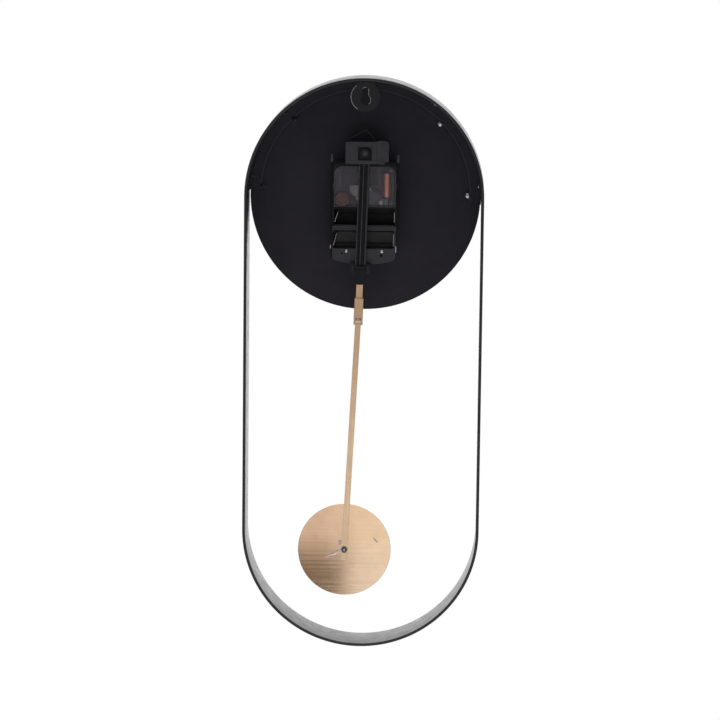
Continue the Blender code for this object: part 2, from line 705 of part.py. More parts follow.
def make_shaft_fixings():
    """The threaded bushing that the dial is clamped on, with its washers and nut."""
    at = (0, DIAL_Z)
    flange = 5.4 * MM
    flange_rear, flange_front = depths(36.8, 37.6)
    bushing = [
        (BUSHING_BORE, 35.3 * MM),
        (BUSHING_RADIUS, 35.3 * MM),
        (BUSHING_RADIUS, flange_rear),
        (flange, flange_rear),
        (flange, flange_front),
        (BUSHING_RADIUS, flange_front),
        (BUSHING_RADIUS, BUSHING_FRONT),
        (BUSHING_BORE, BUSHING_FRONT),
    ]
    turned("shaft_bushing", bushing, "brass", steps=24, at=at)
    washer = ring_profile(6 * MM, 12 * MM, flange_rear, 37.7 * MM)
    turned("cushion_washer", washer, "rubber", steps=28, at=at)
    front_washer = ring_profile(BUSHING_RADIUS + GAP, 7.2 * MM, 39.5 * MM, 40 * MM)
    turned("dial_washer", front_washer, "brass", steps=28, at=at)
    loops = [circle(6 * MM, 6), circle(BUSHING_RADIUS + GAP)]
    nut = place("dial_nut", plate_mesh("dial_nut", loops, depths(40.3, 42)), "brass", at=at)
    round_edges(nut, 0.25 * MM, 1)


def make_hand(name, length, width, hub, hole, depth, turn):
    """A baton hand: a round hub, a straight blade and a short tail."""
    half = width / 2
    tail = 0.24 * length
    blade = [(-half, -tail), (half, -tail), (half * 0.8, length), (-half * 0.8, length)]
    at = (0, DIAL_Z)
    hand = place(name, plate_mesh(name, [circle(hub, 28)], depth), "brass", at=at, turn=turn)
    inset = 0.03 * MM
    blade_depth = (depth[0] + inset, depth[1] - inset)
    blade_name = f"{name}_blade"
    join(hand, place(blade_name, plate_mesh(blade_name, [blade], blade_depth), None, at=at, turn=turn))
    through = (depth[0] - 1 * MM, depth[1] + 1 * MM)
    cut(hand, place(f"{name}_bore", cylinder_mesh(f"{name}_bore", hole, through), None, at=at))


def make_hands():
    minute_turn = 2 * math.pi * SHOWN_MINUTES / 60
    hour_turn = 2 * math.pi * (SHOWN_HOURS + SHOWN_MINUTES / 60) / 12
    hour_hole = HOUR_TUBE_RADIUS + GAP
    minute_hole = MINUTE_ARBOR_RADIUS + GAP
    make_hand("hour_hand", HOUR_HAND_LENGTH, 4.4 * MM, 4.2 * MM, hour_hole, depths(42.7, 43.3), hour_turn)
    make_hand(
        "minute_hand", MINUTE_HAND_LENGTH, 3.4 * MM, 3.4 * MM, minute_hole, depths(44.4, 44.9), minute_turn
    )
    nut = [
        (minute_hole, 45.2 * MM),
        (2.4 * MM, 45.2 * MM),
        (2.4 * MM, 46.6 * MM),
        (1.6 * MM, 47.4 * MM),
        (0, 47.5 * MM),
        (0, 46.9 * MM),
        (minute_hole, 46.9 * MM),
    ]
    turned("hand_nut", nut, "brass", steps=20, at=(0, DIAL_Z))


def make_contacts():
    """Two leaf contacts in each battery bay: one flat, one bent inwards as a spring."""
    at = (0, DIAL_Z)
    leaf = 0.4 * MM
    depth = depths(22.3, 33)

    def leaf_outline(foot, head, low, high):
        return [(foot, low), (foot + leaf, low), (head + leaf, high), (head, high)]

    bays = (
        ("movement", -BAY_HALF, BAY_HALF, -21.3 * MM, -12.8 * MM),
        ("drive", *DRIVE_BAY_X, -41.4 * MM, -31.2 * MM),
    )
    for bay, left, right, low, high in bays:
        flat = leaf_outline(left + GAP, left + GAP, low, high)
        spring = leaf_outline(right - GAP - leaf, right - 3.4 * MM, low, high)
        for kind, outline in (("plus", flat), ("minus", spring)):
            name = f"{bay}_contact_{kind}"
            place(name, plate_mesh(name, [outline], depth), "steel", at=at)


# ---------------------------------------------------------------- pendulum drive frame


def drive_outline(inset, top):
    """The drive box's outline drawn in by inset. Its lower edge is an arc about the swing pivot."""
    low, high = DRIVE_X[0] + inset, DRIVE_X[1] - inset
    reach = DRIVE_REACH - inset
    corner, steps = 4 * MM, 8
    start, end = math.asin((low + corner) / reach), math.asin((high - corner) / reach)
    angles = [start + (end - start) * i / steps for i in range(steps + 1)]
    edge = [(reach * math.sin(angle), PIVOT_Z - reach * math.cos(angle)) for angle in angles]
    near, side = 1.1 * MM, 4.6 * MM
    right = [(high - near, edge[-1][1] + 1.5 * MM), (high, edge[-1][1] + side)]
    left = [(low, edge[0][1] + side), (low + near, edge[0][1] + 1.5 * MM)]
    return edge + right + [(high, top), (low, top)] + left


def make_pendulum_frame():
    at = (0, DIAL_Z)
    outer = rounded_box((-FRAME_HALF, FRAME_HALF), (DRIVE_TOP - 0.9 * MM, FRAME_TOP), 1 * MM, 2)
    tab_low, tab_high, tab = 7 * MM, 11.5 * MM, 2 * MM
    inner = [
        (-RAIL_INNER, BAY_BOTTOM),
        (RAIL_INNER, BAY_BOTTOM),
        (RAIL_INNER, tab_low),
        (RAIL_INNER - tab, tab_low),
        (RAIL_INNER - tab, tab_high),
        (RAIL_INNER, tab_high),
        (RAIL_INNER, CASE_HALF),
        (-RAIL_INNER, CASE_HALF),
        (-RAIL_INNER, tab_high),
        (tab - RAIL_INNER, tab_high),
        (tab - RAIL_INNER, tab_low),
        (-RAIL_INNER, tab_low),
    ]
    mesh = plate_mesh("pendulum_frame", [outer, inner], (FRAME_REAR, FRAME_FRONT))
    frame = place("pendulum_frame", mesh, "black_plastic", at=at)

    def prism(name, outline, depth):
        return place(name, plate_mesh(name, [outline], depth), None, at=at)

    def helper(name, x, z, depth, radius):
        return prism(name, rounded_box(x, z, radius, 3), depth)

    join(frame, prism("drive_box", drive_outline(0, DRIVE_TOP), DRIVE_DEPTH))
    join(frame, helper("header", HEADER_X, HEADER_Z, HEADER_DEPTH, 1.2 * MM))
    tab_depth = (HEADER_DEPTH[0] + 1.2 * MM, HEADER_DEPTH[1] - 1 * MM)
    join(frame, helper("header_tab", TAB_X, TAB_Z, tab_depth, 3 * MM))
    bay_depth = (DRIVE_DEPTH[0] - 1 * MM, DRIVE_BAY_FLOOR)
    cut(frame, helper("drive_bay", DRIVE_BAY_X, DRIVE_BAY_Z, bay_depth, 1 * MM))
    hollow_depth = (DRIVE_DEPTH[0] + 1.8 * MM, DRIVE_DEPTH[1] + 1 * MM)
    cut(frame, prism("drive_hollow", drive_outline(1.7 * MM, -46.7 * MM), hollow_depth))
    slot_depth = (ARM_DEPTH[0] - 0.6 * MM, ARM_DEPTH[1] + 1 * MM)
    slot_z = (HEADER_Z[0] - 1 * MM, PIVOT_Z + 6.4 * MM)
    cut(frame, helper("arm_slot", (-7 * MM, 7 * MM), slot_z, slot_depth, 0.5 * MM))
    window_z = (PIVOT_Z - WINDOW_HALF, PIVOT_Z + WINDOW_HALF)
    window_depth = (HEADER_DEPTH[0] - 1 * MM, ARM_DEPTH[0] + 0.5 * MM)
    cut(frame, helper("window", (-WINDOW_HALF, WINDOW_HALF), window_z, window_depth, 0.5 * MM))
    pin_hole = cylinder_mesh("pin_hole", PIN_RADIUS + GAP, depths(17, 23), (0, PIVOT_Z), 16)
    cut(frame, place("pin_hole", pin_hole, None, at=at))
    screws = [(x, DRIVE_SCREW_Z) for x in (-DRIVE_SCREW_X, DRIVE_SCREW_X)]
    holes = cylinders_mesh("drive_screw_holes", 0.9 * MM, depths(17, 24), screws, 10)
    cut(frame, place("drive_screw_holes", holes, None, at=at))
    cut(frame, loop_holes(at))


def loop_holes(at):
    def build(bm):
        for x in LOOP_LEGS:
            bmesh.ops.create_cone(
                bm,
                cap_ends=True,
                segments=12,
                radius1=LOOP_WIRE_RADIUS + GAP,
                radius2=LOOP_WIRE_RADIUS + GAP,
                depth=10 * MM,
                matrix=Matrix.Translation((x, -LOOP_DEPTH, HEADER_Z[1])),
            )

    return place("loop_holes", mesh_from("loop_holes", build), None, at=at)


def make_hanger_loop():
    """A bent wire triangle whose ends stand in the header block."""
    left, right = LOOP_LEGS
    foot = HEADER_Z[1] - 4.4 * MM
    route = [
        (left, foot),
        (left, HEADER_Z[1] + 0.6 * MM),
        (0.6 * MM, 56 * MM),
        (-0.8 * MM, 56 * MM),
        (right, HEADER_Z[1] + 1.6 * MM),
        (right, foot),
    ]
    curve = bpy.data.curves.new("hanger_loop", "CURVE")
    curve.dimensions = "3D"
    curve.bevel_depth = LOOP_WIRE_RADIUS
    curve.bevel_resolution = 2
    curve.use_fill_caps = True
    spline = curve.splines.new("POLY")
    spline.points.add(len(route) - 1)
    for point, (x, z) in zip(spline.points, route):
        point.co = (x, -LOOP_DEPTH, z, 1)
    curve.materials.append(MATERIALS["black_metal"])
    loop = bpy.data.objects.new("hanger_loop", curve)
    loop.location = (0, 0, DIAL_Z)
    PARTS.objects.link(loop)


def make_drive():
    """The coil and the board that push the pendulum, the screws that close the drive, and the swing pin."""
    at = (0, DIAL_Z)
    pin = cylinder_mesh("pivot_pin", PIN_RADIUS, depths(12.7, 22.6), (0, PIVOT_Z), 16)
    place("pivot_pin", pin, "steel", at=at)
    coil = ring_profile(1.5 * MM, 3.6 * MM, 20.6 * MM, 29 * MM)
    turned("drive_coil", coil, "copper", steps=24, at=on_dial(0, PIVOT_Z + MAGNET_Z))
    outline = rounded_box((6 * MM, 22 * MM), (-52 * MM, -47.4 * MM), 0.8 * MM, 2)
    board = plate_mesh("drive_board", [outline], depths(30, 30.9))
    place("drive_board", board, "circuit", at=at)
    profile = [
        (0, 17.3 * MM),
        (1 * MM, 17.3 * MM),
        (1.3 * MM, 17.6 * MM),
        (1.3 * MM, 18.1 * MM),
        (0.6 * MM, 18.1 * MM),
        (0.6 * MM, 23.4 * MM),
        (0, 23.4 * MM),
    ]
    for number, x in enumerate((-DRIVE_SCREW_X, DRIVE_SCREW_X), 1):
        turned(f"drive_screw_{number}", profile, "steel", steps=12, at=on_dial(x, DRIVE_SCREW_Z))


# ---------------------------------------------------------------- pendulum


def new_pivot(name, at, turn, parent=None):
    pivot = bpy.data.objects.new(name, None)
    pivot.location = (at[0], 0, at[1])
    pivot.rotation_euler = (0, turn, 0)
    pivot.parent = parent
    pivot.empty_display_size = 5 * MM
    PARTS.objects.link(pivot)
    return pivot


def make_arm(swing):
    foot, top = 0.8 * MM, 4 * MM
    outline = rounded_box((-ARM_HALF, ARM_HALF), (ARM_END, ARM_HALF), (foot, foot, top, top))
    mesh = plate_mesh("pendulum_arm", [outline, circle(PIN_RADIUS + GAP, 16)], ARM_DEPTH)
    arm = place("pendulum_arm", mesh, "black_plastic", parent=swing)
    channel_half = ARM_HALF - RIB
    channel_depth = (ARM_DEPTH[0] - 1 * MM, ARM_FLOOR)
    channel = block_mesh("arm_channel", (-channel_half, channel_half), CHANNEL_Z, channel_depth)
    cut(arm, place("arm_channel", channel, None, parent=swing))
    pocket = cylinder_mesh("magnet_pocket", 3.1 * MM, depths(15.6, 18), (0, MAGNET_Z))
    cut(arm, place("magnet_pocket", pocket, None, parent=swing))
    magnet = cylinder_mesh("arm_magnet", 2.8 * MM, depths(15.9, 16.9), (0, MAGNET_Z))
    place("arm_magnet", magnet, "magnet", parent=swing)


def make_hook(swing):
    """A cup that grips the arm's end, and a tongue with the pin that the pendulum hangs on."""
    low, cup, root = 3 * MM, 1 * MM, 0.2 * MM
    outline = rounded_box((-HOOK_HALF, HOOK_HALF), HOOK_Z, (low, low, cup, cup), 3)
    cup_mesh = plate_mesh("pendulum_hook", [outline], HOOK_DEPTH)
    hook = place("pendulum_hook", cup_mesh, "black_plastic", parent=swing)
    tongue_z = (TONGUE_END, HOOK_Z[0] + 1 * MM)
    tongue = rounded_box((-TONGUE_HALF, TONGUE_HALF), tongue_z, (low, low, root, root), 3)
    tongue_mesh = plate_mesh("hook_tongue", [tongue], depths(12.8, 15.3))
    join(hook, place("hook_tongue", tongue_mesh, None, parent=swing))
    pin = (0, HOOK_PIN_Z)
    pin_mesh = cylinder_mesh("hook_pin", PIN_RADIUS, depths(15, 18.2), pin, 16)
    join(hook, place("hook_pin", pin_mesh, None, parent=swing))
    lip = cylinder_mesh("hook_lip", 1.8 * MM, depths(17.2, 18.1), pin, 16)
    join(hook, place("hook_lip", lip, None, parent=swing))
    socket_x = ARM_HALF + GAP
    socket_z = (ARM_END - GAP, HOOK_Z[1] + 1 * MM)
    socket_depth = (ARM_DEPTH[0] - GAP, HOOK_DEPTH[1] + 0.4 * MM)
    socket = block_mesh("arm_socket", (-socket_x, socket_x), socket_z, socket_depth)
    cut(hook, place("arm_socket", socket, None, parent=swing))


def make_pendulum(hang):
    """The strip, the sleeve and its screw, the rod, and the bob. Heights are below the swing pivot."""
    drop = (0, -HOOK_PIN_Z)
    foot, top = 0.4 * MM, 2.6 * MM
    strip_z = (STRIP_END, HOOK_PIN_Z + STRIP_HALF)
    strip = rounded_box((-STRIP_HALF, STRIP_HALF), strip_z, (foot, foot, top, top))
    hole = circle(PIN_RADIUS + GAP, 16, (0, HOOK_PIN_Z))
    strip_mesh = plate_mesh("top_strip", [strip, hole], STRIP_DEPTH)
    place("top_strip", strip_mesh, "brass", at=drop, parent=hang)
    sleeve_mesh = block_mesh("clamp_sleeve", (-SLEEVE_HALF, SLEEVE_HALF), SLEEVE_Z, SLEEVE_DEPTH)
    sleeve = place("clamp_sleeve", sleeve_mesh, "brass", at=drop, parent=hang)
    round_edges(sleeve, 0.25 * MM, 1)
    inner = SLEEVE_HALF - SLEEVE_WALL
    inner_depth = (SLEEVE_DEPTH[0] + SLEEVE_WALL, SLEEVE_DEPTH[1] - SLEEVE_WALL)
    through = (SLEEVE_Z[0] - 1 * MM, SLEEVE_Z[1] + 1 * MM)
    hollow = block_mesh("sleeve_hollow", (-inner, inner), through, inner_depth)
    cut(sleeve, place("sleeve_hollow", hollow, None, at=drop, parent=hang))
    screw_hole = cylinder_mesh("clamp_hole", 1.2 * MM, depths(13, 15), (0, CLAMP_SCREW_Z), 16)
    cut(sleeve, place("clamp_hole", screw_hole, None, at=drop, parent=hang))
    profile = [
        (0, 12.3 * MM),
        (2 * MM, 12.3 * MM),
        (2.5 * MM, 12.8 * MM),
        (2.5 * MM, 13.6 * MM),
        (0.9 * MM, 13.6 * MM),
        (0.9 * MM, 14.6 * MM),
        (0, 14.6 * MM),
    ]
    below_pin = (0, CLAMP_SCREW_Z - HOOK_PIN_Z)
    turned("clamp_screw", profile, "steel", steps=20, at=below_pin, parent=hang)
    make_rod_and_bob(new_pivot("rod_line", below_pin, ROD_TILT, hang))


def make_rod_and_bob(line):
    bob_centre = (0, -BOB_DROP)
    outline = rounded_box((-ROD_HALF, ROD_HALF), (-ROD_LENGTH, 13.6 * MM), 0.3 * MM, 1)
    loops = [outline, circle(1.4 * MM, 16, bob_centre)]
    place("pendulum_rod", plate_mesh("pendulum_rod", loops, ROD_DEPTH), "brass", parent=line)
    disc = plate_mesh("bob_disc", [circle(BOB_RADIUS, 72)], BOB_DEPTH)
    bob = place("bob_disc", disc, "brass", at=bob_centre, parent=line)
    round_edges(bob, 0.15 * MM, 1)
    nut = plate_mesh("bob_nut", [circle(2.8 * MM, 6)], depths(12.9, 14.6))
    stud = place("bob_nut", nut, "steel", at=bob_centre, parent=line)
    shank = cylinder_mesh("bob_shank", 1.1 * MM, depths(12.4, 15.7), segments=16)
    join(stud, place("bob_shank", shank, None, at=bob_centre, parent=line))


def main():
    make_hoop()
    make_dial()
    make_bracket()
    make_fixings()
    make_hanger()
    make_case()
    make_cover()
    make_train_plate()
    make_circuit()
    make_going_train()
    make_motion_work()
    make_shaft_fixings()
    make_hands()
    make_contacts()
    make_pendulum_frame()
    make_hanger_loop()
    make_drive()
    swing = new_pivot("swing_pivot", on_dial(0, PIVOT_Z), ARM_TILT)
    make_arm(swing)
    make_hook(swing)
    make_pendulum(new_pivot("hang_pivot", (0, HOOK_PIN_Z), 0.0, swing))


main()
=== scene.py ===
"""Looks of the pendulum wall clock: fine surfaces, finishes, studio light and the viewing camera.

Metres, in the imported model's frame: +Z up, front towards -Y, wall side towards +Y, wall at y = 0.
A "depth" is a distance forward from the wall, so a point at depth d has y = -d. Outlines are drawn
in the XZ plane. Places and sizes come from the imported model's boxes and joints where they can, and
the rest are in millimetres, from the photograph.
"""

import json
import math

import bmesh
import bpy
from mathutils import Matrix, Vector


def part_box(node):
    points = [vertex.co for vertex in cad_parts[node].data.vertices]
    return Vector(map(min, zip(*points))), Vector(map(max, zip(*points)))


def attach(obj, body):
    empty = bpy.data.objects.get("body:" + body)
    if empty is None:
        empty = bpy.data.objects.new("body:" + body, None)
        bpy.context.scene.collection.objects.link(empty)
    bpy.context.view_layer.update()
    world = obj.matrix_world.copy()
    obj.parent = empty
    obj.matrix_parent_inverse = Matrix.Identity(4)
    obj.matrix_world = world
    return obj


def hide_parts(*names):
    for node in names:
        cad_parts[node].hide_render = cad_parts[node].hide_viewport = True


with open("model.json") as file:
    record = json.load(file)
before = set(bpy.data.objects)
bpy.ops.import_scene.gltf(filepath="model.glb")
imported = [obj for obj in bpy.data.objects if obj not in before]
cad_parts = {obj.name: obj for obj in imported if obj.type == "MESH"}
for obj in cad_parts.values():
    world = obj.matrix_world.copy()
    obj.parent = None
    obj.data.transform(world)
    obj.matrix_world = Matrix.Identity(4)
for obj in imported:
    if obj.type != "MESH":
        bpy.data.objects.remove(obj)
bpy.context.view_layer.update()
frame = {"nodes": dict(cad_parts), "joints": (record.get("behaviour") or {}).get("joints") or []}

MM = 0.001
INSET = 0.05 * MM  # how far a raised shape sinks into what it stands on
TINY = 0.001 * MM  # vertices closer than this are merged
SHARP_ANGLE = math.radians(32)
CLOCK = "clock_body"


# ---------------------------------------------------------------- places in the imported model


def middle(node):
    low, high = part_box(node)
    return (low + high) / 2


def depths(node):
    """A node's rear and front depth."""
    low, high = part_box(node)
    return (-high.y, -low.y)


def joint_place(name):
    found = next(joint for joint in frame["joints"] if joint["name"] == name)
    return Vector(found["pos_m"])


def hanging_frame(top, bottom):
    """A frame at the top point whose -Z axis runs to the bottom point, both taken in the XZ plane."""
    drop = bottom - top
    turn = Matrix.Rotation(math.atan2(-drop.x, -drop.z), 4, "Y")
    return Matrix.Translation((top.x, 0, top.z)) @ turn


def box_in(node, matrix):
    """(lowest, highest) corner of a node in a tilted frame."""
    inverse = matrix.inverted()
    points = [inverse @ vertex.co for vertex in frame["nodes"][node].data.vertices]
    low = Vector([min(point[axis] for point in points) for axis in range(3)])
    high = Vector([max(point[axis] for point in points) for axis in range(3)])
    return low, high


HOOP_LOW, HOOP_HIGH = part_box("hoop_frame")
HOOP_RADIUS = (HOOP_HIGH.x - HOOP_LOW.x) / 2
ARC_Z = HOOP_HIGH.z - HOOP_RADIUS
LOWER_ARC_Z = HOOP_LOW.z + HOOP_RADIUS
BAND_THICKNESS = 2.5 * MM
DIAL = middle("dial_plate")
AXIS = Matrix.Translation((0, 0, DIAL.z))
SWING = joint_place("pendulum_swing")
HANG = joint_place("pendulum_hang")
ARM = hanging_frame(SWING, HANG)


# ---------------------------------------------------------------- finishes


class Finish:
    """A material whose colour, roughness and bump come from nodes that read object coordinates."""

    def __init__(self, name, **sockets):
        self.material = bpy.data.materials.new(name)
        self.material.use_nodes = True
        self.tree = self.material.node_tree
        self.shader = self.tree.nodes["Principled BSDF"]
        for socket, value in sockets.items():
            self.shader.inputs[socket.replace("_", " ")].default_value = value
        self.place = self.tree.nodes.new("ShaderNodeTexCoord").outputs["Object"]
        self.height = None

    def node(self, kind, inputs=None, **settings):
        made = self.tree.nodes.new(kind)
        for name, value in settings.items():
            setattr(made, name, value)
        for name, value in (inputs or {}).items():
            if isinstance(value, bpy.types.NodeSocket):
                self.tree.links.new(value, made.inputs[name])
            else:
                made.inputs[name].default_value = value
        return made

    def link(self, output, socket):
        self.tree.links.new(output, self.shader.inputs[socket])

    def noise(self, size, stretch=(1, 1, 1), detail=3.0, turn=(0, 0, 0)):
        """A noise with features about size metres across, times stretch along each axis."""
        scale = [1 / s for s in stretch]
        mapping = self.node("ShaderNodeMapping", {"Vector": self.place, "Rotation": turn})
        inputs = {0: mapping.outputs[0], 1: scale}
        wide = self.node("ShaderNodeVectorMath", inputs, operation="MULTIPLY")
        inputs = {"Vector": wide.outputs[0], "Scale": 1 / size, "Detail": detail}
        return self.node("ShaderNodeTexNoise", inputs).outputs["Fac"]

    def remap(self, value, low, high, start=0.3, end=0.7):
        """Runs from low to high as the value runs from start to end."""
        inputs = {"Value": value, "From Min": start, "From Max": end, "To Min": low, "To Max": high}
        return self.node("ShaderNodeMapRange", inputs).outputs["Result"]

    def blend(self, factor, first, second):
        """A colour between two, which are colours or sockets."""
        mix = self.tree.nodes.new("ShaderNodeMix")
        mix.data_type = "RGBA"
        for slot, value in ((0, factor), (6, first), (7, second)):
            if isinstance(value, bpy.types.NodeSocket):
                self.tree.links.new(value, mix.inputs[slot])
            else:
                mix.inputs[slot].default_value = (*value, 1) if slot else value
        return mix.outputs[2]

    def colour(self, factor, first, second):
        self.link(self.blend(factor, first, second), "Base Color")

    def rough(self, value, low, high):
        self.link(self.remap(value, low, high), "Roughness")

    def raise_by(self, value, height):
        """Adds a bump of that height in metres on top of the ones before it."""
        inputs = {"Height": value, "Distance": height, "Strength": 1.0}
        if self.height:
            inputs["Normal"] = self.height
        self.height = self.node("ShaderNodeBump", inputs).outputs["Normal"]
        self.link(self.height, "Normal")


def powder_coat(name, dark, light, low, high, specular):
    """Satin black powder coat: an orange-peel skin with fine specks, and a little dust."""
    finish = Finish(name, Specular_IOR_Level=specular)
    finish.colour(finish.remap(finish.noise(38 * MM, detail=4), 0, 1), dark, light)
    finish.rough(finish.noise(9 * MM), low, high)
    finish.raise_by(finish.noise(1.1 * MM, detail=2), 0.03 * MM)
    finish.raise_by(finish.noise(0.28 * MM, detail=1), 0.008 * MM)
    return finish.material


def moulded(name, dark, light, low, high, grain=0.012, specular=0.5, **sockets):
    """Moulded plastic with a fine spark-eroded grain."""
    finish = Finish(name, Specular_IOR_Level=specular, **sockets)
    finish.colour(finish.remap(finish.noise(7 * MM), 0, 1), dark, light)
    finish.rough(finish.noise(4 * MM), low, high)
    finish.raise_by(finish.noise(0.25 * MM, detail=2), grain * MM)
    return finish.material


def frame_plastic_with_painted_shade(name, dark, light, low, high):
    """Moulded plastic with painted shade: darker colour and less sheen on the slim rails beside and
    above the movement, set by position.
    """
    side_rail, header_side = 26.8 * MM, 16.5 * MM
    rail_bottom, rail_top = DIAL.z + 26.5 * MM, DIAL.z + 30.4 * MM
    finish = Finish(name)
    axes = finish.node("ShaderNodeSeparateXYZ", {0: finish.place}).outputs

    def compare(first, second, operation="GREATER_THAN"):
        return finish.node("ShaderNodeMath", {0: first, 1: second}, operation=operation).outputs[0]

    across = compare(axes["X"], 0.0, "ABSOLUTE")
    sides = compare(across, side_rail)
    beside = compare(across, header_side)
    over = compare(axes["Z"], rail_bottom)
    under = compare(rail_top, axes["Z"])
    top_rail = compare(compare(beside, over, "MULTIPLY"), under, "MULTIPLY")
    rails = compare(sides, top_rail, "MAXIMUM")
    tone = finish.blend(finish.remap(finish.noise(7 * MM), 0, 1), dark, light)
    # painted shade: the rails take a quarter of the dark tone, and less sheen on the next line
    finish.colour(rails, tone, [value * 0.25 for value in dark])
    finish.link(finish.remap(rails, 0.5, 0.12, 0, 1), "Specular IOR Level")
    finish.rough(finish.noise(4 * MM), low, high)
    finish.raise_by(finish.noise(0.25 * MM, detail=2), 0.012 * MM)
    return finish.material


def brushed(name, dark, light, low, high, lines, height, streak=0.5, **sockets):
    """Metal with fine lines. lines is how far the noise stretches along each axis."""
    finish = Finish(name, Metallic=1.0, **sockets)
    fine = finish.noise(0.16 * MM, stretch=lines, detail=4)
    wide = finish.noise(1.3 * MM, stretch=lines, detail=3)
    tone = finish.blend(finish.remap(finish.noise(16 * MM), 0, 1), dark, light)
    worn = finish.blend(finish.remap(wide, 0, streak), tone, [value * 0.6 for value in dark])
    finish.colour(finish.remap(fine, 0, streak), worn, [value * 0.7 for value in dark])
    finish.rough(wide, low, high)
    finish.raise_by(fine, height * MM)
    return finish.material


def plated(name, dark, light, low, high):
    """Bright plated or turned metal with faint cloudy patches and pits."""
    finish = Finish(name, Metallic=1.0)
    finish.colour(finish.remap(finish.noise(1.6 * MM, detail=4), 0, 1), dark, light)
    finish.rough(finish.noise(0.6 * MM), low, high)
    finish.raise_by(finish.noise(0.35 * MM), 0.006 * MM)
    return finish.material


ALONG_Z, ALONG_X = (1, 1, 120), (90, 1, 1)  # how far brushed lines stretch
BRASS, PALE_BRASS = (0.80, 0.535, 0.35), (0.90, 0.62, 0.43)
BLACK, WORN_BLACK = (0.026, 0.0245, 0.035), (0.036, 0.034, 0.046)

# each finish: two colours that its noise blends, then its lowest and highest roughness
FINISHES = {
    "hoop": powder_coat(
        "black hoop coat", (0.02, 0.0175, 0.024), (0.027, 0.0235, 0.032), 0.28, 0.38, 0.52
    ),
    "hanger": powder_coat(
        "hanger coat", (0.014, 0.013, 0.017), (0.019, 0.0175, 0.022), 0.4, 0.5, 0.3
    ),
    "sheet": powder_coat(
        "black sheet coat", (0.0225, 0.02, 0.031), (0.03, 0.0265, 0.04), 0.5, 0.62, 0.25
    ),
    "plastic": moulded("black plastic", BLACK, WORN_BLACK, 0.34, 0.44),
    "frame": frame_plastic_with_painted_shade("frame plastic with painted rail shade", BLACK, WORN_BLACK, 0.34, 0.44),
    # a lighter black that paints glints on the arm's ribs, the posts and the cover's edge
    "rib": moulded("black plastic lightened as painted glint", (0.06, 0.058, 0.068), (0.085, 0.082, 0.094), 0.25, 0.35),
    "case": moulded(
        "black case plastic", (0.0085, 0.008, 0.013), (0.0125, 0.012, 0.018), 0.45, 0.55, specular=0.25
    ),
    "hole": moulded("deep shade", (0.001,) * 3, (0.003,) * 3, 0.8, 0.9, specular=0.1),
    "plate": moulded("grey plate plastic", (0.13, 0.125, 0.15), (0.18, 0.175, 0.2), 0.45, 0.55),
    "smoky": moulded(
        "smoky clear plastic",
        (0.16, 0.15, 0.2),
        (0.2, 0.19, 0.245),
        0.1,
        0.18,
        grain=0.001,
        Alpha=0.18,
        Coat_Weight=0.5,
        Coat_Roughness=0.08,
    ),
    "white": moulded("natural acetal", (0.66, 0.6, 0.62), (0.76, 0.71, 0.72), 0.4, 0.5),
    "red": moulded("brown red plastic", (0.09, 0.046, 0.052), (0.13, 0.066, 0.074), 0.12, 0.2),
    "rubber": moulded("soft rubber", (0.012,) * 3, (0.02,) * 3, 0.75, 0.9, grain=0.03),
    "magnet": moulded(
        "ferrite", (0.08, 0.08, 0.085), (0.14, 0.14, 0.15), 0.3, 0.45, grain=0.02, Metallic=0.7
    ),
    "circuit": moulded("dark circuit board", (0.016, 0.011, 0.008), (0.03, 0.02, 0.014), 0.35, 0.5),
    "glue": moulded(
        "set glue",
        (0.9, 0.72, 0.66),
        (1.0, 0.85, 0.8),
        0.15,
        0.3,
        grain=0.05,
        Metallic=0.75,
        Alpha=0.85,
    ),
    "brass": brushed("brushed brass", BRASS, PALE_BRASS, 0.16, 0.28, ALONG_Z, 0.003, 0.3),
    "rod": brushed(
        "brushed pale brass", (0.87, 0.6, 0.41), (0.95, 0.68, 0.49), 0.16, 0.26, ALONG_Z, 0.002, 0.12
    ),
    "bob": brushed("polished brass sheet", BRASS, PALE_BRASS, 0.05, 0.09, ALONG_X, 0.0001, 0.05),
    "turned": plated("turned brass", (0.62, 0.42, 0.17), (0.8, 0.6, 0.3), 0.18, 0.3),
    "steel": plated("bright zinc", (0.5, 0.5, 0.51), (0.72, 0.72, 0.72), 0.16, 0.32),
    "dull_steel": plated("dull steel", (0.1, 0.1, 0.105), (0.2, 0.195, 0.19), 0.3, 0.45),
    # bright metal for the hanger's edges: wear, and painted glints where they catch the light
    "worn": plated("worn edge with painted glint", (0.3, 0.3, 0.32), (0.45, 0.45, 0.47), 0.25, 0.4),
    "plated_brass": plated("brass plated screw", (0.5, 0.4, 0.33), (0.85, 0.74, 0.66), 0.12, 0.26),
    "copper": plated("enamelled copper", (0.92, 0.34, 0.24), (1.0, 0.46, 0.34), 0.3, 0.45),
}


# ---------------------------------------------------------------- pieces and shapes


def shade(mesh):
    mesh.shade_smooth()
    mesh.set_sharp_from_angle(angle=SHARP_ANGLE)


def place(name, mesh, matrix=None):
    piece = bpy.data.objects.new(name, mesh)
    bpy.context.scene.collection.objects.link(piece)
    piece.matrix_world = matrix or Matrix.Identity(4)
    shade(mesh)
    return piece


def finish_piece(piece, finish, body, *nodes):
    """Gives a piece its finish and its body. It stands for these nodes."""
    piece.data.materials.clear()
    piece.data.materials.append(FINISHES[finish])
    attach(piece, body)
    if nodes:
        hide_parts(*nodes)
    return piece


def soften(piece, width, segments=2, angle=35):
    bevel = piece.modifiers.new("soft edges", "BEVEL")
    bevel.width = width
    bevel.segments = segments
    bevel.limit_method = "ANGLE"
    bevel.angle_limit = math.radians(angle)
    bevel.use_clamp_overlap = True


def mesh_from(name, build):
    bm = bmesh.new()
    build(bm)
    mesh = bpy.data.meshes.new(name)
    bm.to_mesh(mesh)
    bm.free()
    return mesh


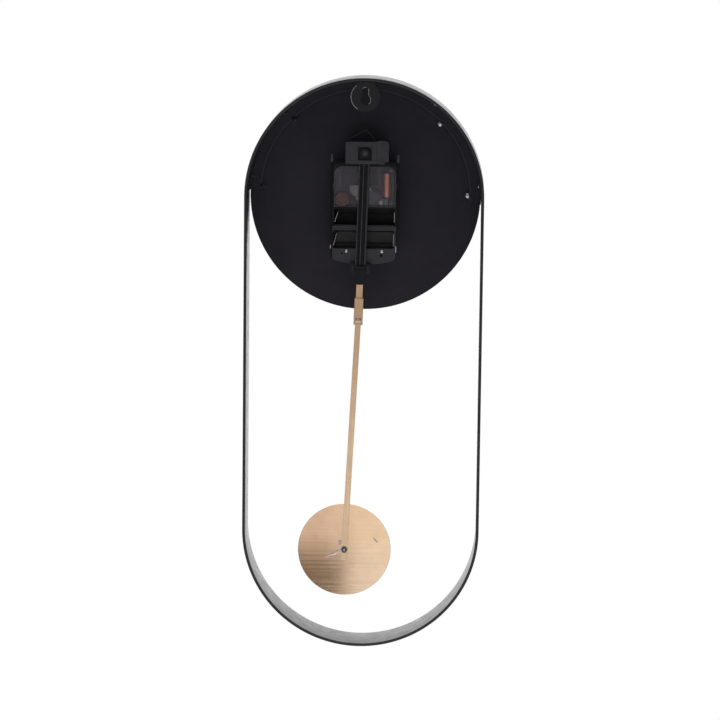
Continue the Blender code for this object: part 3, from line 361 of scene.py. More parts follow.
def add_block(bm, x, z, depth):
    size = (x[1] - x[0], depth[1] - depth[0], z[1] - z[0])
    centre = ((x[0] + x[1]) / 2, -(depth[0] + depth[1]) / 2, (z[0] + z[1]) / 2)
    lay = Matrix.Translation(centre) @ Matrix.Diagonal((*size, 1))
    bmesh.ops.create_cube(bm, size=1, matrix=lay)


def add_rod(bm, radius, depth, at=(0, 0), segments=32, tip=None):
    """A round bar along the depth axis; tip is its front radius, where that differs."""
    centre = Matrix.Translation((at[0], -(depth[0] + depth[1]) / 2, at[1]))
    bmesh.ops.create_cone(
        bm,
        cap_ends=True,
        segments=segments,
        radius1=radius,
        radius2=radius if tip is None else tip,
        depth=depth[1] - depth[0],
        matrix=centre @ Matrix.Rotation(math.pi / 2, 4, "X"),
    )


def plate(name, loops, depth, matrix=None):
    """A flat plate with these closed outlines, the first one outside and the rest holes."""
    curve = bpy.data.curves.new(name, "CURVE")
    curve.dimensions = "2D"
    curve.fill_mode = "BOTH"
    curve.extrude = (depth[1] - depth[0]) / 2
    for points in loops:
        spline = curve.splines.new("POLY")
        spline.points.add(len(points) - 1)
        for point, (x, z) in zip(spline.points, points):
            point.co = (x, z, 0, 1)
        spline.use_cyclic_u = True
    guide = bpy.data.objects.new(f"{name} outline", curve)
    bpy.context.scene.collection.objects.link(guide)
    bpy.context.view_layer.update()
    evaluated = guide.evaluated_get(bpy.context.evaluated_depsgraph_get())
    mesh = bpy.data.meshes.new_from_object(evaluated)
    mesh.name = name
    bpy.data.objects.remove(guide)
    bpy.data.curves.remove(curve)
    forward = Matrix.Translation((0, -(depth[0] + depth[1]) / 2, 0))
    mesh.transform(forward @ Matrix.Rotation(math.pi / 2, 4, "X"))
    bm = bmesh.new()
    bm.from_mesh(mesh)
    bmesh.ops.remove_doubles(bm, verts=bm.verts, dist=TINY)
    bmesh.ops.recalc_face_normals(bm, faces=bm.faces)
    bmesh.ops.dissolve_limit(bm, angle_limit=math.radians(0.5), verts=bm.verts, edges=bm.edges)
    bm.to_mesh(mesh)
    bm.free()
    return place(name, mesh, matrix)


def turned(name, profile, matrix=None, steps=48):
    """A piece turned about the depth axis from (radius, depth) points, from its rear to its front."""

    def build(bm):
        rings = []
        for i in range(steps):
            x, z = math.cos(2 * math.pi * i / steps), math.sin(2 * math.pi * i / steps)
            rings.append([bm.verts.new((radius * x, -depth, -radius * z)) for radius, depth in profile])
        count = len(profile)
        for here, there in zip(rings, rings[1:] + rings[:1]):
            for i in range(count if profile[0][0] else count - 1):
                j = (i + 1) % count
                bm.faces.new((here[i], here[j], there[j], there[i]))
        bmesh.ops.remove_doubles(bm, verts=bm.verts, dist=TINY)
        bmesh.ops.recalc_face_normals(bm, faces=bm.faces)

    return place(name, mesh_from(name, build), matrix)


def swept(name, path, section, closed, matrix=None):
    """A section of (outward offset, depth) points along a path of (x, z, outward x, outward z)."""

    def build(bm):
        rings = [
            [bm.verts.new((x + out_x * off, -depth, z + out_z * off)) for off, depth in section]
            for x, z, out_x, out_z in path
        ]
        count = len(section)
        pairs = list(zip(rings, rings[1:]))
        if closed:
            pairs.append((rings[-1], rings[0]))
        for here, there in pairs:
            for i in range(count):
                j = (i + 1) % count
                bm.faces.new((here[i], here[j], there[j], there[i]))
        if not closed:
            bm.faces.new(rings[0])
            bm.faces.new(rings[-1])
        bmesh.ops.recalc_face_normals(bm, faces=bm.faces)

    return place(name, mesh_from(name, build), matrix)


def combine(piece, other, operation="DIFFERENCE"):
    """Cuts the other shape from the piece, or joins it on, and removes it."""
    modifier = piece.modifiers.new(operation.lower(), "BOOLEAN")
    modifier.operation = operation
    modifier.object = other
    modifier.solver = "EXACT"
    bpy.context.view_layer.update()
    evaluated = piece.evaluated_get(bpy.context.evaluated_depsgraph_get())
    mesh = bpy.data.meshes.new_from_object(evaluated)
    piece.modifiers.clear()
    piece.data = mesh
    bpy.data.objects.remove(other)
    shade(mesh)
    return piece


def arc(radius, start, end, count, centre=(0, 0)):
    steps = [start + (end - start) * i / count for i in range(count + 1)]
    return [(centre[0] + radius * math.cos(a), centre[1] + radius * math.sin(a)) for a in steps]


def sector(inner, outer, start, end, count, centre=(0, 0)):
    """A strip between two radii, from one angle to another."""
    return arc(inner, end, start, count, centre) + arc(outer, start, end, count, centre)


def circle(radius, count=48, centre=(0, 0)):
    return arc(radius, 0, 2 * math.pi, count, centre)[:-1]


def ring(outer, inner, centre, count=40):
    return [circle(outer, count, centre), circle(inner, count, centre)]


def raised(face, height):
    """The depths of a shape that stands height millimetres behind a face."""
    return (face - height * MM, face + INSET)


def rounded_box(x, z, radius, count=6):
    """A rectangle with round corners; radius is one value, or one per corner from bottom left."""
    radii = radius if isinstance(radius, tuple) else (radius,) * 4
    corners = ((x[0], z[0], 1, 1), (x[1], z[0], -1, 1), (x[1], z[1], -1, -1), (x[0], z[1], 1, -1))
    points = []
    for i, (corner, r) in enumerate(zip(corners, radii)):
        start = math.pi + i * math.pi / 2
        centre = (corner[0] + corner[2] * r, corner[1] + corner[3] * r)
        points += arc(r, start, start + math.pi / 2, count, centre)
    return points


# ---------------------------------------------------------------- hoop, dial and hanger


def stadium_path(count=144, straight=12):
    """The hoop's outer line with its outward direction, once round."""
    path = []
    for centre_z, start in ((ARC_Z, 0.0), (LOWER_ARC_Z, math.pi)):
        for i in range(count + 1):
            angle = start + math.pi * i / count
            out_x, out_z = math.cos(angle), math.sin(angle)
            path.append((HOOP_RADIUS * out_x, centre_z + HOOP_RADIUS * out_z, out_x, out_z))
        last = path[-1]
        other_z = LOWER_ARC_Z if centre_z == ARC_Z else ARC_Z
        for i in range(1, straight):
            path.append((last[0], centre_z + (other_z - centre_z) * i / straight, last[2], 0.0))
    return path


def make_hoop():
    edge_radius = 0.75 * MM
    section = rounded_box((-BAND_THICKNESS, 0), depths("hoop_frame"), edge_radius, 5)
    hoop = swept("hoop", stadium_path(), section, True)
    finish_piece(hoop, "hoop", CLOCK, "hoop_frame")


def make_dial():
    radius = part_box("dial_plate")[1].x
    hole = 4.4 * MM
    dial = plate("dial", [circle(radius, 256), circle(hole, 64)], depths("dial_plate"), AXIS)
    soften(dial, 0.22 * MM, 3)
    finish_piece(dial, "sheet", CLOCK, "dial_plate")


def make_hour_marks():
    """Twelve slim bars on the dial's face, longer at the quarters."""
    face = depths("dial_plate")[1]
    outer, thickness = 90 * MM, 0.45 * MM

    def build(bm):
        for hour in range(12):
            quarter = hour % 3 == 0
            length = (13 if quarter else 8) * MM
            half = (1.3 if quarter else 0.8) * MM
            block = bmesh.ops.create_cube(bm, size=1)["verts"]
            shape = Matrix.Diagonal((2 * half, thickness, length, 1))
            out = Matrix.Translation((0, -face - thickness / 2, outer - length / 2))
            turn = Matrix.Rotation(2 * math.pi * hour / 12, 4, "Y")
            bmesh.ops.transform(bm, matrix=turn @ out @ shape, verts=block)

    marks = place("hour_marks", mesh_from("hour_marks", build), AXIS)
    soften(marks, 0.12 * MM, 3)
    finish_piece(marks, "brass", CLOCK)


STUDS = [f"dial_stud_{i}" for i in (1, 2, 3, 4)]
FRAME_SCREWS = [f"frame_screw_{i}" for i in (1, 2, 3, 4)]
BRACKET_SHEET = 1.2 * MM
PAN_HEAD = (2.2 * MM, 1.3 * MM, 1.1 * MM)  # head radius, head height, shank radius


def make_bracket():
    """An L-shaped strip that follows the band, with ears for the dial's studs, a dark strip that paints
    the shade line at the flange's inner edge, and a hem.
    """
    rear, front = depths("dial_bracket")
    outer = HOOP_RADIUS - BAND_THICKNESS - 0.03 * MM
    inner, bend, ear_radius = 87.5 * MM, 1.6 * MM, 3.8 * MM
    corner = arc(bend, 0, math.pi / 2, 5, (-bend, front - bend))
    inside = arc(bend - BRACKET_SHEET, math.pi / 2, 0, 4, (-bend, front - bend))
    section = [(0, rear), *corner, (inner - outer, front), (inner - outer, front - BRACKET_SHEET)]
    section += [*inside, (-BRACKET_SHEET, rear)]
    start, end, count = math.radians(2), math.radians(184), 150
    path = []
    for i in range(count + 1):
        angle = start + (end - start) * i / count
        out_x, out_z = math.cos(angle), math.sin(angle)
        path.append((outer * out_x, ARC_Z + outer * out_z, out_x, out_z))
    bracket = swept("dial_bracket_strip", path, section, False)
    ear_depth = (front - BRACKET_SHEET + INSET, front - INSET)
    for stud in STUDS:
        at = middle(stud)
        ear = plate(f"{stud}_ear", [circle(ear_radius, 40, (at.x, at.z))], ear_depth)
        combine(bracket, ear, "UNION")
    soften(bracket, 0.15 * MM, 2)
    finish_piece(bracket, "sheet", CLOCK, "dial_bracket")
    # painted shade line: a very dark strip in rubber finish just inside the flange's inner edge
    shade_line_band = sector(inner - 0.9 * MM, inner + 0.4 * MM, start, end, 120, (0, ARC_Z))
    shade_line_strip = plate("bracket_painted_shade_line", [shade_line_band], (front - 0.25 * MM, depths("dial_plate")[0] + INSET))
    finish_piece(shade_line_strip, "rubber", CLOCK)
    fold = sector(inner + 0.45 * MM, inner + 1.1 * MM, start, end, 120, (0, ARC_Z))
    hem = plate("bracket_hem", [fold], raised(front - BRACKET_SHEET, 0.25))
    finish_piece(hem, "plastic", CLOCK)


def dome(radius, height, count=8):
    """(radius, rise) points of a low dome with a straight rim, from its middle to its edge."""
    rim = 0.35 * height
    sphere = (radius**2 + (height - rim) ** 2) / (2 * (height - rim))
    widest = math.asin(radius / sphere)
    points = []
    for i in range(count + 1):
        angle = widest * i / count
        points.append((sphere * math.sin(angle), sphere * (1 - math.cos(angle))))
    return points + [(radius, height)]


def screw_piece(name, matrix, head_radius, head, shank_radius, length, crossed=True):
    """A pan-head screw that points forward from its head's top at depth 0, crossed or plain."""
    profile = dome(head_radius, head) + [(shank_radius, head)]
    thread, crest = 0.35 * MM, 0.12 * MM
    turns = int((length - head - 0.6 * MM) / thread)
    for i in range(max(turns, 0)):
        start = head + i * thread
        profile += [(shank_radius, start + 0.1 * thread), (shank_radius - crest, start + 0.6 * thread)]
    profile += [(shank_radius * 0.6, length - 0.1 * MM), (0, length)]
    screw = turned(name, profile, matrix, 40)
    if crossed:
        half, reach, deep = 0.14 * head_radius, 0.62 * head_radius, 0.62 * head

        def build(bm):
            add_block(bm, (-reach, reach), (-half, half), (-1 * MM, deep))

        for i in range(2):
            turn = Matrix.Rotation(0.4 + i * math.pi / 2, 4, "Y")
            combine(screw, place(f"{name}_recess", mesh_from("recess", build), matrix @ turn))
    return screw


def make_fixings():
    """Domed studs on the dial's rim, and pan-head screws through the bracket into the band."""
    for number, node in enumerate(STUDS, 1):
        rear, front = depths(node)
        at = middle(node)
        matrix = Matrix.Translation((at.x, -rear, at.z))
        stud = screw_piece(f"stud_{number}", matrix, *PAN_HEAD, front - rear, False)
        # painted shade: studs on the +X side take the dark hanger coat, the others bright zinc
        finish_piece(stud, "hanger" if at.x > 0 else "steel", CLOCK, node)
    for number, node in enumerate(FRAME_SCREWS, 1):
        at = middle(node)
        out = Vector((at.x, 0, at.z - ARC_Z))
        angle = math.atan2(out.z, out.x)
        vertices = frame["nodes"][node].data.vertices
        reaches = [Vector((vertex.co.x, vertex.co.z - ARC_Z)).length for vertex in vertices]
        inner, outer = min(reaches), max(reaches)
        foot = Vector((inner * math.cos(angle), at.y, ARC_Z + inner * math.sin(angle)))
        lay = Matrix.Rotation(math.pi / 2 - angle, 4, "Y") @ Matrix.Rotation(-math.pi / 2, 4, "X")
        matrix = Matrix.Translation(foot) @ lay
        screw = screw_piece(f"band_screw_{number}", matrix, *PAN_HEAD, outer - inner)
        # painted shade: screws on the +X side are dull steel, the others bright zinc
        finish_piece(screw, "dull_steel" if at.x > 0 else "steel", CLOCK, node)


# ---------------------------------------------------------------- carried nodes

# node: (finish, width in millimetres of its eased edges)
EASED = {
    "hanger_plate": ("hanger", 0.3),
    "movement_case": ("case", 0.3),
    "pendulum_frame": ("frame", 0.35),
    "movement_cover": ("smoky", 0.5),
    "train_plate": ("plate", 0.1),
    "circuit_board": ("circuit", 0.08),
    "crystal_can": ("steel", 0.12),
    "coil_bobbin": ("case", 0.1),
    "stator": ("dull_steel", 0.06),
    "shaft_bushing": ("turned", 0.1),
    "cushion_washer": ("rubber", 0.1),
    "dial_washer": ("turned", 0.08),
    "movement_contact_plus": ("steel", 0.08),
    "movement_contact_minus": ("steel", 0.08),
    "drive_contact_plus": ("steel", 0.08),
    "drive_contact_minus": ("steel", 0.08),
    "pivot_pin": ("dull_steel", 0.15),
    "drive_board": ("circuit", 0.08),
    "rotor": ("white", 0.04),
    "intermediate_wheel": ("plate", 0.04),
    "second_wheel": ("plate", 0.04),
    "third_wheel": ("white", 0.04),
    "centre_wheel": ("turned", 0.04),
    "minute_wheel": ("white", 0.04),
    "hour_wheel": ("white", 0.04),
    "setting_wheel": ("red", 0.12),
    "minute_arbor": ("steel", 0.04),
    "hour_hand": ("brass", 0.1),
    "minute_hand": ("brass", 0.1),
    "hand_nut": ("turned", 0.1),
    "dial_nut": ("turned", 0.15),
    "drive_coil": ("copper", 0.05),
    "arm_magnet": ("magnet", 0.1),
    "pendulum_arm": ("case", 0.25),
    "pendulum_hook": ("case", 0.3),
    "top_strip": ("brass", 0.1),
    "clamp_sleeve": ("brass", 0.1),
    "pendulum_rod": ("rod", 0.1),
    "bob_disc": ("bob", 0.0),
}


def ease_nodes():
    """The nodes whose shape is right keep it, with eased edges and a fine finish."""
    for node, (finish, width) in EASED.items():
        part = frame["nodes"][node]
        part.data.materials.clear()
        part.data.materials.append(FINISHES[finish])
        weld = part.modifiers.new("weld", "WELD")
        weld.merge_threshold = 2 * TINY
        if width:
            soften(part, width * MM, 2)


# ---------------------------------------------------------------- movement and pendulum frame


HEADER_FACE = depths("pendulum_frame")[0]
DRIVE_FACE = 18.4 * MM
PIVOT_Z = SWING.z - DIAL.z


def make_loop():
    """The wire loop over the movement, with bends of an even radius."""
    node_low, node_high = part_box("hanger_loop")
    radius, bend, steps = 0.6 * MM, 1.6 * MM, 6
    left, right = node_high.x - radius, node_low.x + radius
    foot, apex = node_low.z, node_high.z - radius
    shoulder = foot + 5 * MM
    corners = [
        (left, foot),
        (left, shoulder),
        (0.6 * MM, apex),
        (-0.8 * MM, apex),
        (right, shoulder + 1 * MM),
        (right, foot),
    ]
    points = [Vector(corners[0])]
    for before, corner, after in zip(corners, corners[1:], corners[2:]):
        here = Vector(corner)
        enter, leave = Vector(before) - here, Vector(after) - here
        cut = min(bend, enter.length / 2, leave.length / 2)
        first, last = here + enter.normalized() * cut, here + leave.normalized() * cut
        for i in range(steps + 1):
            t = i / steps
            points.append(first * (1 - t) ** 2 + here * 2 * t * (1 - t) + last * t**2)
    points.append(Vector(corners[-1]))
    curve = bpy.data.curves.new("wire_loop", "CURVE")
    curve.dimensions = "3D"
    curve.bevel_depth = radius * 0.98
    curve.bevel_resolution = 4
    curve.use_fill_caps = True
    spline = curve.splines.new("POLY")
    spline.points.add(len(points) - 1)
    for point, place_on in zip(spline.points, points):
        point.co = (place_on.x, middle("hanger_loop").y, place_on.y, 1)
    loop = bpy.data.objects.new("wire_loop", curve)
    bpy.context.scene.collection.objects.link(loop)
    finish_piece(loop, "plastic", CLOCK, "hanger_loop")


def on_dial(name, loops, depth, finish, ease=0.12, body=CLOCK):
    """A raised plate in the dial's frame, which stands on what is in front of it."""
    piece = plate(name, loops, depth, AXIS)
    if ease:
        soften(piece, ease * MM, 2)
    return finish_piece(piece, finish, body)


def make_frame_details():
    """The header's window, panel and tab, and the two posts beside it."""
    lip, half = 0.9 * MM, 5.7 * MM
    window = (PIVOT_Z - half, PIVOT_Z + half)
    outer = rounded_box((-half - lip, half + lip), (window[0] - lip, window[1] + lip), 1.1 * MM)
    inner = rounded_box((-half, half), window, 0.5 * MM)
    on_dial("window_lip", [outer, inner], raised(HEADER_FACE, 0.35), "plastic")
    panel = rounded_box((7.4 * MM, 15 * MM), (30.4 * MM, 45.4 * MM), 1 * MM)
    on_dial("header_panel", [panel], raised(HEADER_FACE, 0.22), "plastic", 0.08)
    tab_face = HEADER_FACE + 1.2 * MM
    tab_rim = ring(2.3 * MM, 1.3 * MM, (-16 * MM, 44.8 * MM))
    on_dial("tab_rim", tab_rim, raised(tab_face, 0.45), "plastic")
    foot_rim = ring(2 * MM, 1.2 * MM, (-14 * MM, 31.4 * MM))
    on_dial("tab_foot_rim", foot_rim, raised(tab_face, 0.4), "plastic")
    post_x, post_depth, post_foot = 27.7 * MM, 19.4 * MM, 29.5 * MM
    profile = [(0, 0), (1.1, 0), (1.05, 5.6), (0.8, 6.3), (0.4, 6.5), (0, 6.5)]
    profile = [(radius * MM, height * MM) for radius, height in profile]
    for side, x in (("left", post_x), ("right", -post_x)):
        stand = Matrix.Translation((x, -post_depth, post_foot)) @ Matrix.Rotation(-math.pi / 2, 4, "X")
        # the posts' lighter rib finish paints their glint
        finish_piece(turned(f"post_{side}", profile, AXIS @ stand, 28), "rib", CLOCK)


def make_drive_details():
    """The drive's stepped back plate with its holes, dark discs that paint the shade inside two of
    them, the rails over it and its contacts' ends.
    """
    screws = [middle(node) - DIAL for node in ("drive_screw_1", "drive_screw_2")]
    left_screw = max(screws, key=lambda at: at.x)
    peg, small = (-14.4 * MM, -48.9 * MM), (18.6 * MM, -47.2 * MM)
    step_x, low, high = -9.6 * MM, -52.6 * MM, -43.4 * MM
    corners = (0.4 * MM, 4 * MM, 0.6 * MM, 0.4 * MM)
    outline = rounded_box((step_x, 26.6 * MM), (low, high), corners)
    holes = [circle(1.5 * MM, 32, (left_screw.x, left_screw.z)), circle(0.75 * MM, 24, small)]
    on_dial("drive_step", [outline, *holes], raised(DRIVE_FACE, 0.5), "plastic", 0.07)
    # painted shade: near-black discs inside the peg hole and the small hole
    on_dial("peg_hole_painted_shade", [circle(1.15 * MM, 32, peg)], raised(DRIVE_FACE, 0.06), "hole", 0)
    on_dial("peg_rim", ring(1.75 * MM, 1.15 * MM, peg), raised(DRIVE_FACE, 0.4), "plastic", 0.1)
    on_dial("small_hole_painted_shade", [circle(0.7 * MM, 24, small)], raised(DRIVE_FACE, 0.06), "hole", 0)
    rail = rounded_box((-24.6 * MM, 26.2 * MM), (-27.3 * MM, -26.3 * MM), 0.3 * MM)
    on_dial("drive_rail", [rail], raised(DRIVE_FACE, 0.6), "plastic", 0.2)
    bay = rounded_box((-25.4 * MM, 25.4 * MM), (-24.3 * MM, -23.5 * MM), 0.3 * MM)
    on_dial("bay_lip", [bay], (19.2 * MM, 24 * MM), "plastic", 0.2)
    clip = rounded_box((-26.9 * MM, -26.25 * MM), (-46.4 * MM, -40.8 * MM), 0.25 * MM)
    on_dial("contact_end_right", [clip], (18.6 * MM, 22 * MM), "steel", 0.08)
    other = rounded_box((27.95 * MM, 28.7 * MM), (-43.4 * MM, -40.4 * MM), 0.25 * MM)
    on_dial("contact_end_left", [other], (18.6 * MM, 21 * MM), "steel", 0.08)
    head = (1.3 * MM, 0.75 * MM, 0.6 * MM)
    for number in (1, 2):
        node = f"drive_screw_{number}"
        at, (rear, front) = middle(node), depths(node)
        matrix = Matrix.Translation((at.x, -rear, at.z))
        screw = screw_piece(f"drive_screw_head_{number}", matrix, *head, front - rear)
        finish_piece(screw, "steel", CLOCK, node)


def make_bay_rails():
    """Low rails along the floor of each battery bay, which the cell lies on."""
    half_width, half_height = 24.6 * MM, 0.35 * MM
    floor = -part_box("movement_case")[0].y - 1.5 * MM
    bays = (("movement", (-15.1, -22.6), floor), ("drive", (-30.4, -40.2), floor - 0.5 * MM))
    for bay, heights, face in bays:
        for number, height in enumerate(heights, 1):
            z = (height * MM - half_height, height * MM + half_height)
            outline = rounded_box((-half_width, half_width), z, 0.2 * MM)
            on_dial(f"{bay}_rail_{number}", [outline], raised(face, 0.9), "case", 0.15)


def make_cover_rim():
    """The case's lip round the clear cover, and a lighter strip on the cover's edge that paints its
    glint, both cut back for the knob.
    """
    rear = depths("movement_case")[0]
    low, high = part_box("movement_cover")
    half, top, bottom = high.x, high.z - DIAL.z, low.z - DIAL.z
    knob = middle("setting_wheel") - DIAL

    def notched(name, loops, height):
        """A thin plate behind the case, less the room that the knob turns in."""
        piece = plate(name, loops, (rear - height * MM, rear - 0.02 * MM), AXIS)
        room = mesh_from(
            "room", lambda bm: add_rod(bm, 6.6 * MM, (18 * MM, 22 * MM), (knob.x, knob.z), 48)
        )
        return combine(piece, place(f"{name}_room", room, AXIS))

    lip, inside, line = 0.6 * MM, 0.35 * MM, 0.45 * MM
    small, large, corner = 0.4 * MM, 3 * MM, 6.4 * MM
    outer = rounded_box((-half - lip, half + lip), (bottom, top + lip), (small, small, large, large))
    opening = (bottom + 0.2 * MM, top - inside)
    corners = (0.5 * MM, 0.5 * MM, corner, corner)
    inner = rounded_box((-half + inside, half - inside), opening, corners, 10)
    finish_piece(notched("case_lip", [outer, inner], 0.3), "case", CLOCK)
    edge = rounded_box(
        (-half + inside + line, half - inside - line),
        (opening[0] + line, opening[1] - line),
        (0.3 * MM, 0.3 * MM, corner - line, corner - line),
        10,
    )
    cover_edge_glint = finish_piece(notched("cover_edge", [inner, edge], 0.22), "rib", CLOCK)


def make_hanger_edges():
    """Bright metal arcs on the hanger tab's edge and round its keyhole: worn edges, laid only on the
    side of each that catches the light, so partly painted glints.
    """
    skin = raised(depths("hanger_plate")[0], 0.12)
    tab_z, tab = -7.7 * MM, 12 * MM
    hole_z, hole = -10.1 * MM, 4.4 * MM
    turn = math.radians
    edges = {
        "tab_edge": sector(tab - 0.45 * MM, tab, turn(-58), turn(52), 48, (0, tab_z)),
        "hole_edge": sector(hole, hole + 0.4 * MM, turn(132), turn(228), 32, (0, hole_z)),
        "slot_edge": rounded_box((-3 * MM, -2.6 * MM), (-6.4 * MM, -0.6 * MM), 0.15 * MM),
        "slot_top": sector(2.6 * MM, 2.95 * MM, turn(35), turn(110), 20, (0, -2.4 * MM)),
    }
    for name, outline in edges.items():
        piece = plate(f"hanger_{name}", [outline], skin)
        finish_piece(piece, "worn", CLOCK)


def make_winding():
    """Fine copper wire laid turn by turn on the coil's former."""
    node_low, node_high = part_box("coil_winding")
    centre = (node_low + node_high) / 2
    radius, length = (node_high.x - node_low.x) / 2, node_high.z - node_low.z
    pitch = 0.42 * MM
    turns = int(length / pitch)
    core = radius * 0.4
    wire = ((0.0, 0.1), (0.25, 0.02), (0.5, 0.0), (0.75, 0.02), (1.0, 0.1))  # share along it, drop
    profile = [(core, 0)]
    for i in range(turns):
        start = (i + 0.02) * length / turns
        wide = 0.96 * length / turns
        profile += [(radius - drop * MM, start + share * wide) for share, drop in wire]
    profile.append((core, length))
    foot = Matrix.Translation((centre.x, centre.y, node_low.z))
    winding = turned("coil_turns", profile, foot @ Matrix.Rotation(-math.pi / 2, 4, "X"), 40)
    finish_piece(winding, "copper", CLOCK, "coil_winding")


def make_knob():
    """The setting wheel's finger ridges, its dished face and its centre pip."""
    node = middle("setting_wheel")
    rear = depths("setting_wheel")[0]
    radius, count, groove = 6.2 * MM, 44, 0.22 * MM
    at = Matrix.Translation((node.x, 0, node.z))
    teeth = []
    for i in range(count * 4):
        angle = 2 * math.pi * i / (count * 4)
        reach = radius - (groove if i % 4 < 2 else 0.0)
        teeth.append((reach * math.cos(angle), reach * math.sin(angle)))
    ridges = plate("knob_ridges", [teeth, circle(radius - 1 * MM, 64)], (19.45 * MM, 20.9 * MM), at)
    soften(ridges, 0.06 * MM, 1)
    finish_piece(ridges, "red", "setting_body")
    face = 19.6 * MM
    rings = [  # (radius, depth) from the pip out to the rim and back under it
        (0, rear - 0.1 * MM),
        (0.8 * MM, rear - 0.1 * MM),
        (1.0 * MM, rear + 0.05 * MM),
        (1.05 * MM, face - 0.45 * MM),
        (1.9 * MM, face - 0.4 * MM),
        (2.15 * MM, face - 0.15 * MM),
        (2.3 * MM, face - 0.03 * MM),
        (3.9 * MM, face - 0.03 * MM),
        (4.1 * MM, face - 0.3 * MM),
        (4.7 * MM, face - 0.3 * MM),
        (4.9 * MM, face + INSET),
        (0, face + INSET),
    ]
    finish_piece(turned("knob_face", rings, at, 64), "red", "setting_body")


# ---------------------------------------------------------------- pendulum


def on_arm(name, loops, depth, finish, ease):
    """A raised plate in the arm's own frame."""
    piece = plate(name, loops, depth, ARM)
    soften(piece, ease * MM, 2)
    finish_piece(piece, finish, "arm_body")


def make_arm_details():
    """Raised lines along the arm's channel, and a collar round the swing pin."""
    rear = -box_in("pendulum_arm", ARM)[1].y
    channel = 14.8 * MM
    length = (-93 * MM, -7 * MM)
    # the left and centre ribs take the lighter rib finish as a painted glint; the right one stays plain
    # black
    ribs = (
        ("left", 4.0 * MM, 0.55 * MM, raised(rear, 0.2), "rib"),
        ("centre", 0.5 * MM, 0.6 * MM, raised(channel, 2.1), "rib"),
        ("right", -3.6 * MM, 1.3 * MM, raised(rear, 0.2), "plastic"),
    )
    for name, x, width, depth, finish in ribs:
        outline = rounded_box((x - width / 2, x + width / 2), length, 0.15 * MM)
        on_arm(f"arm_{name}_rib", [outline], depth, finish, 0.12)
    collar = ring(2.6 * MM, 1.35 * MM, (0, 0), 48)
    on_arm("arm_collar", collar, raised(rear, 0.4), "plastic", 0.15)


def make_hook_details():
    """The grip ribs on both sides of the cup that holds the arm's end."""
    rear = -box_in("pendulum_hook", ARM)[1].y
    first, pitch, half = 5.9, 0.95, 0.25 * MM
    length = (-101 * MM, -94.2 * MM)
    for side in (-1, 1):
        for number in range(3):
            x = side * (first + pitch * number) * MM
            outline = rounded_box((x - half, x + half), length, 0.2 * MM)
            name = f"hook_rib_{'left' if side > 0 else 'right'}_{number}"
            on_arm(name, [outline], raised(rear, 0.4), "plastic", 0.12)


def make_clamp_and_nut():
    """The sleeve's pan-head screw, and the nut on its threaded stud at the bob's centre."""
    at, (rear, front) = middle("clamp_screw"), depths("clamp_screw")
    matrix = Matrix.Translation((at.x, -rear, at.z))
    head = (2.5 * MM, 1.3 * MM, 0.9 * MM)
    screw = screw_piece("sleeve_screw", matrix, *head, front - rear)
    finish_piece(screw, "plated_brass", "pendulum_body", "clamp_screw")
    at, (rear, front) = middle("bob_nut"), depths("bob_nut")
    here = Matrix.Translation((at.x, 0, at.z))
    chamfer, pitch = 0.3 * MM, 0.35 * MM
    thread = [(0, rear), (0.7 * MM, rear), (1 * MM, rear + chamfer)]
    count = int((front - rear - 0.5 * MM) / pitch)
    for i in range(count):
        start = rear + chamfer + i * pitch
        thread += [(1.1 * MM, start + pitch / 2), (0.9 * MM, start + pitch)]
    thread.append((0, front))
    stud = turned("bob_stud", thread, here, 32)
    finish_piece(stud, "steel", "pendulum_body", "bob_nut")
    hexagon, hole = circle(2.8 * MM, 6), circle(1.15 * MM, 32)
    nut = plate("bob_hex_nut", [hexagon, hole], (12.9 * MM, 14.55 * MM), here)
    soften(nut, 0.25 * MM, 3)
    finish_piece(nut, "dull_steel", "pendulum_body")


def make_glue():
    """A streak of set glue beside the nut, and two small drops."""
    nut = middle("bob_nut")
    face = depths("bob_disc")[0]
    rings, around, thick = 7, 40, 0.28 * MM
    drops = (  # name, place from the nut, half lengths, tilt in degrees
        ("glue_streak", (8.6, -3.6), (7.2, 1.3), 25),
        ("glue_drop", (2.8, 5.6), (2.2, 2.8), -30),
        ("glue_fleck", (-26.5, 8.2), (3.0, 0.8), -50),
    )
    for name, (off_x, off_z), (reach_x, reach_z), tilt in drops:

        def build(bm, reach_x=reach_x * MM, reach_z=reach_z * MM):
            rows = []
            for ring in range(rings):
                share = ring / (rings - 1)
                row = []
                for i in range(around):
                    angle = 2 * math.pi * i / around
                    wobble = 1 + 0.2 * math.sin(3 * angle + 1) + 0.12 * math.sin(5 * angle + 2)
                    rise = thick * (1 - share**2) * (1 + 0.5 * math.sin(4 * angle) * share)
                    x = reach_x * wobble * share * math.cos(angle)
                    z = reach_z * wobble * share * math.sin(angle)
                    row.append(bm.verts.new((x, -face + rise, z)))
                rows.append(row)
            for inner, outer in zip(rows, rows[1:]):
                for i in range(around):
                    j = (i + 1) % around
                    bm.faces.new((inner[i], inner[j], outer[j], outer[i]))
            bmesh.ops.remove_doubles(bm, verts=bm.verts, dist=TINY)
            bmesh.ops.recalc_face_normals(bm, faces=bm.faces)

        spot = Matrix.Translation((nut.x + off_x * MM, 0, nut.z + off_z * MM))
        turn = Matrix.Rotation(math.radians(tilt), 4, "Y")
        finish_piece(place(name, mesh_from(name, build), spot @ turn), "glue", "pendulum_body")


# ---------------------------------------------------------------- studio


# how bright the world is towards the wall, towards the room in front, above and below
WORLD_REAR, WORLD_FRONT, WORLD_TOP, WORLD_FLOOR = 0.2, 1.5, 0.9, 0.5

# the viewer stands behind the clock and a little above it
CAMERA_PLACE = (-0.07954, 2.73745, 0.19423)
CAMERA_AIM = (0.0024, -0.020, -0.2310)
CAMERA_ROLL = math.radians(0.659)
LENS, SENSOR = 165.33, 36

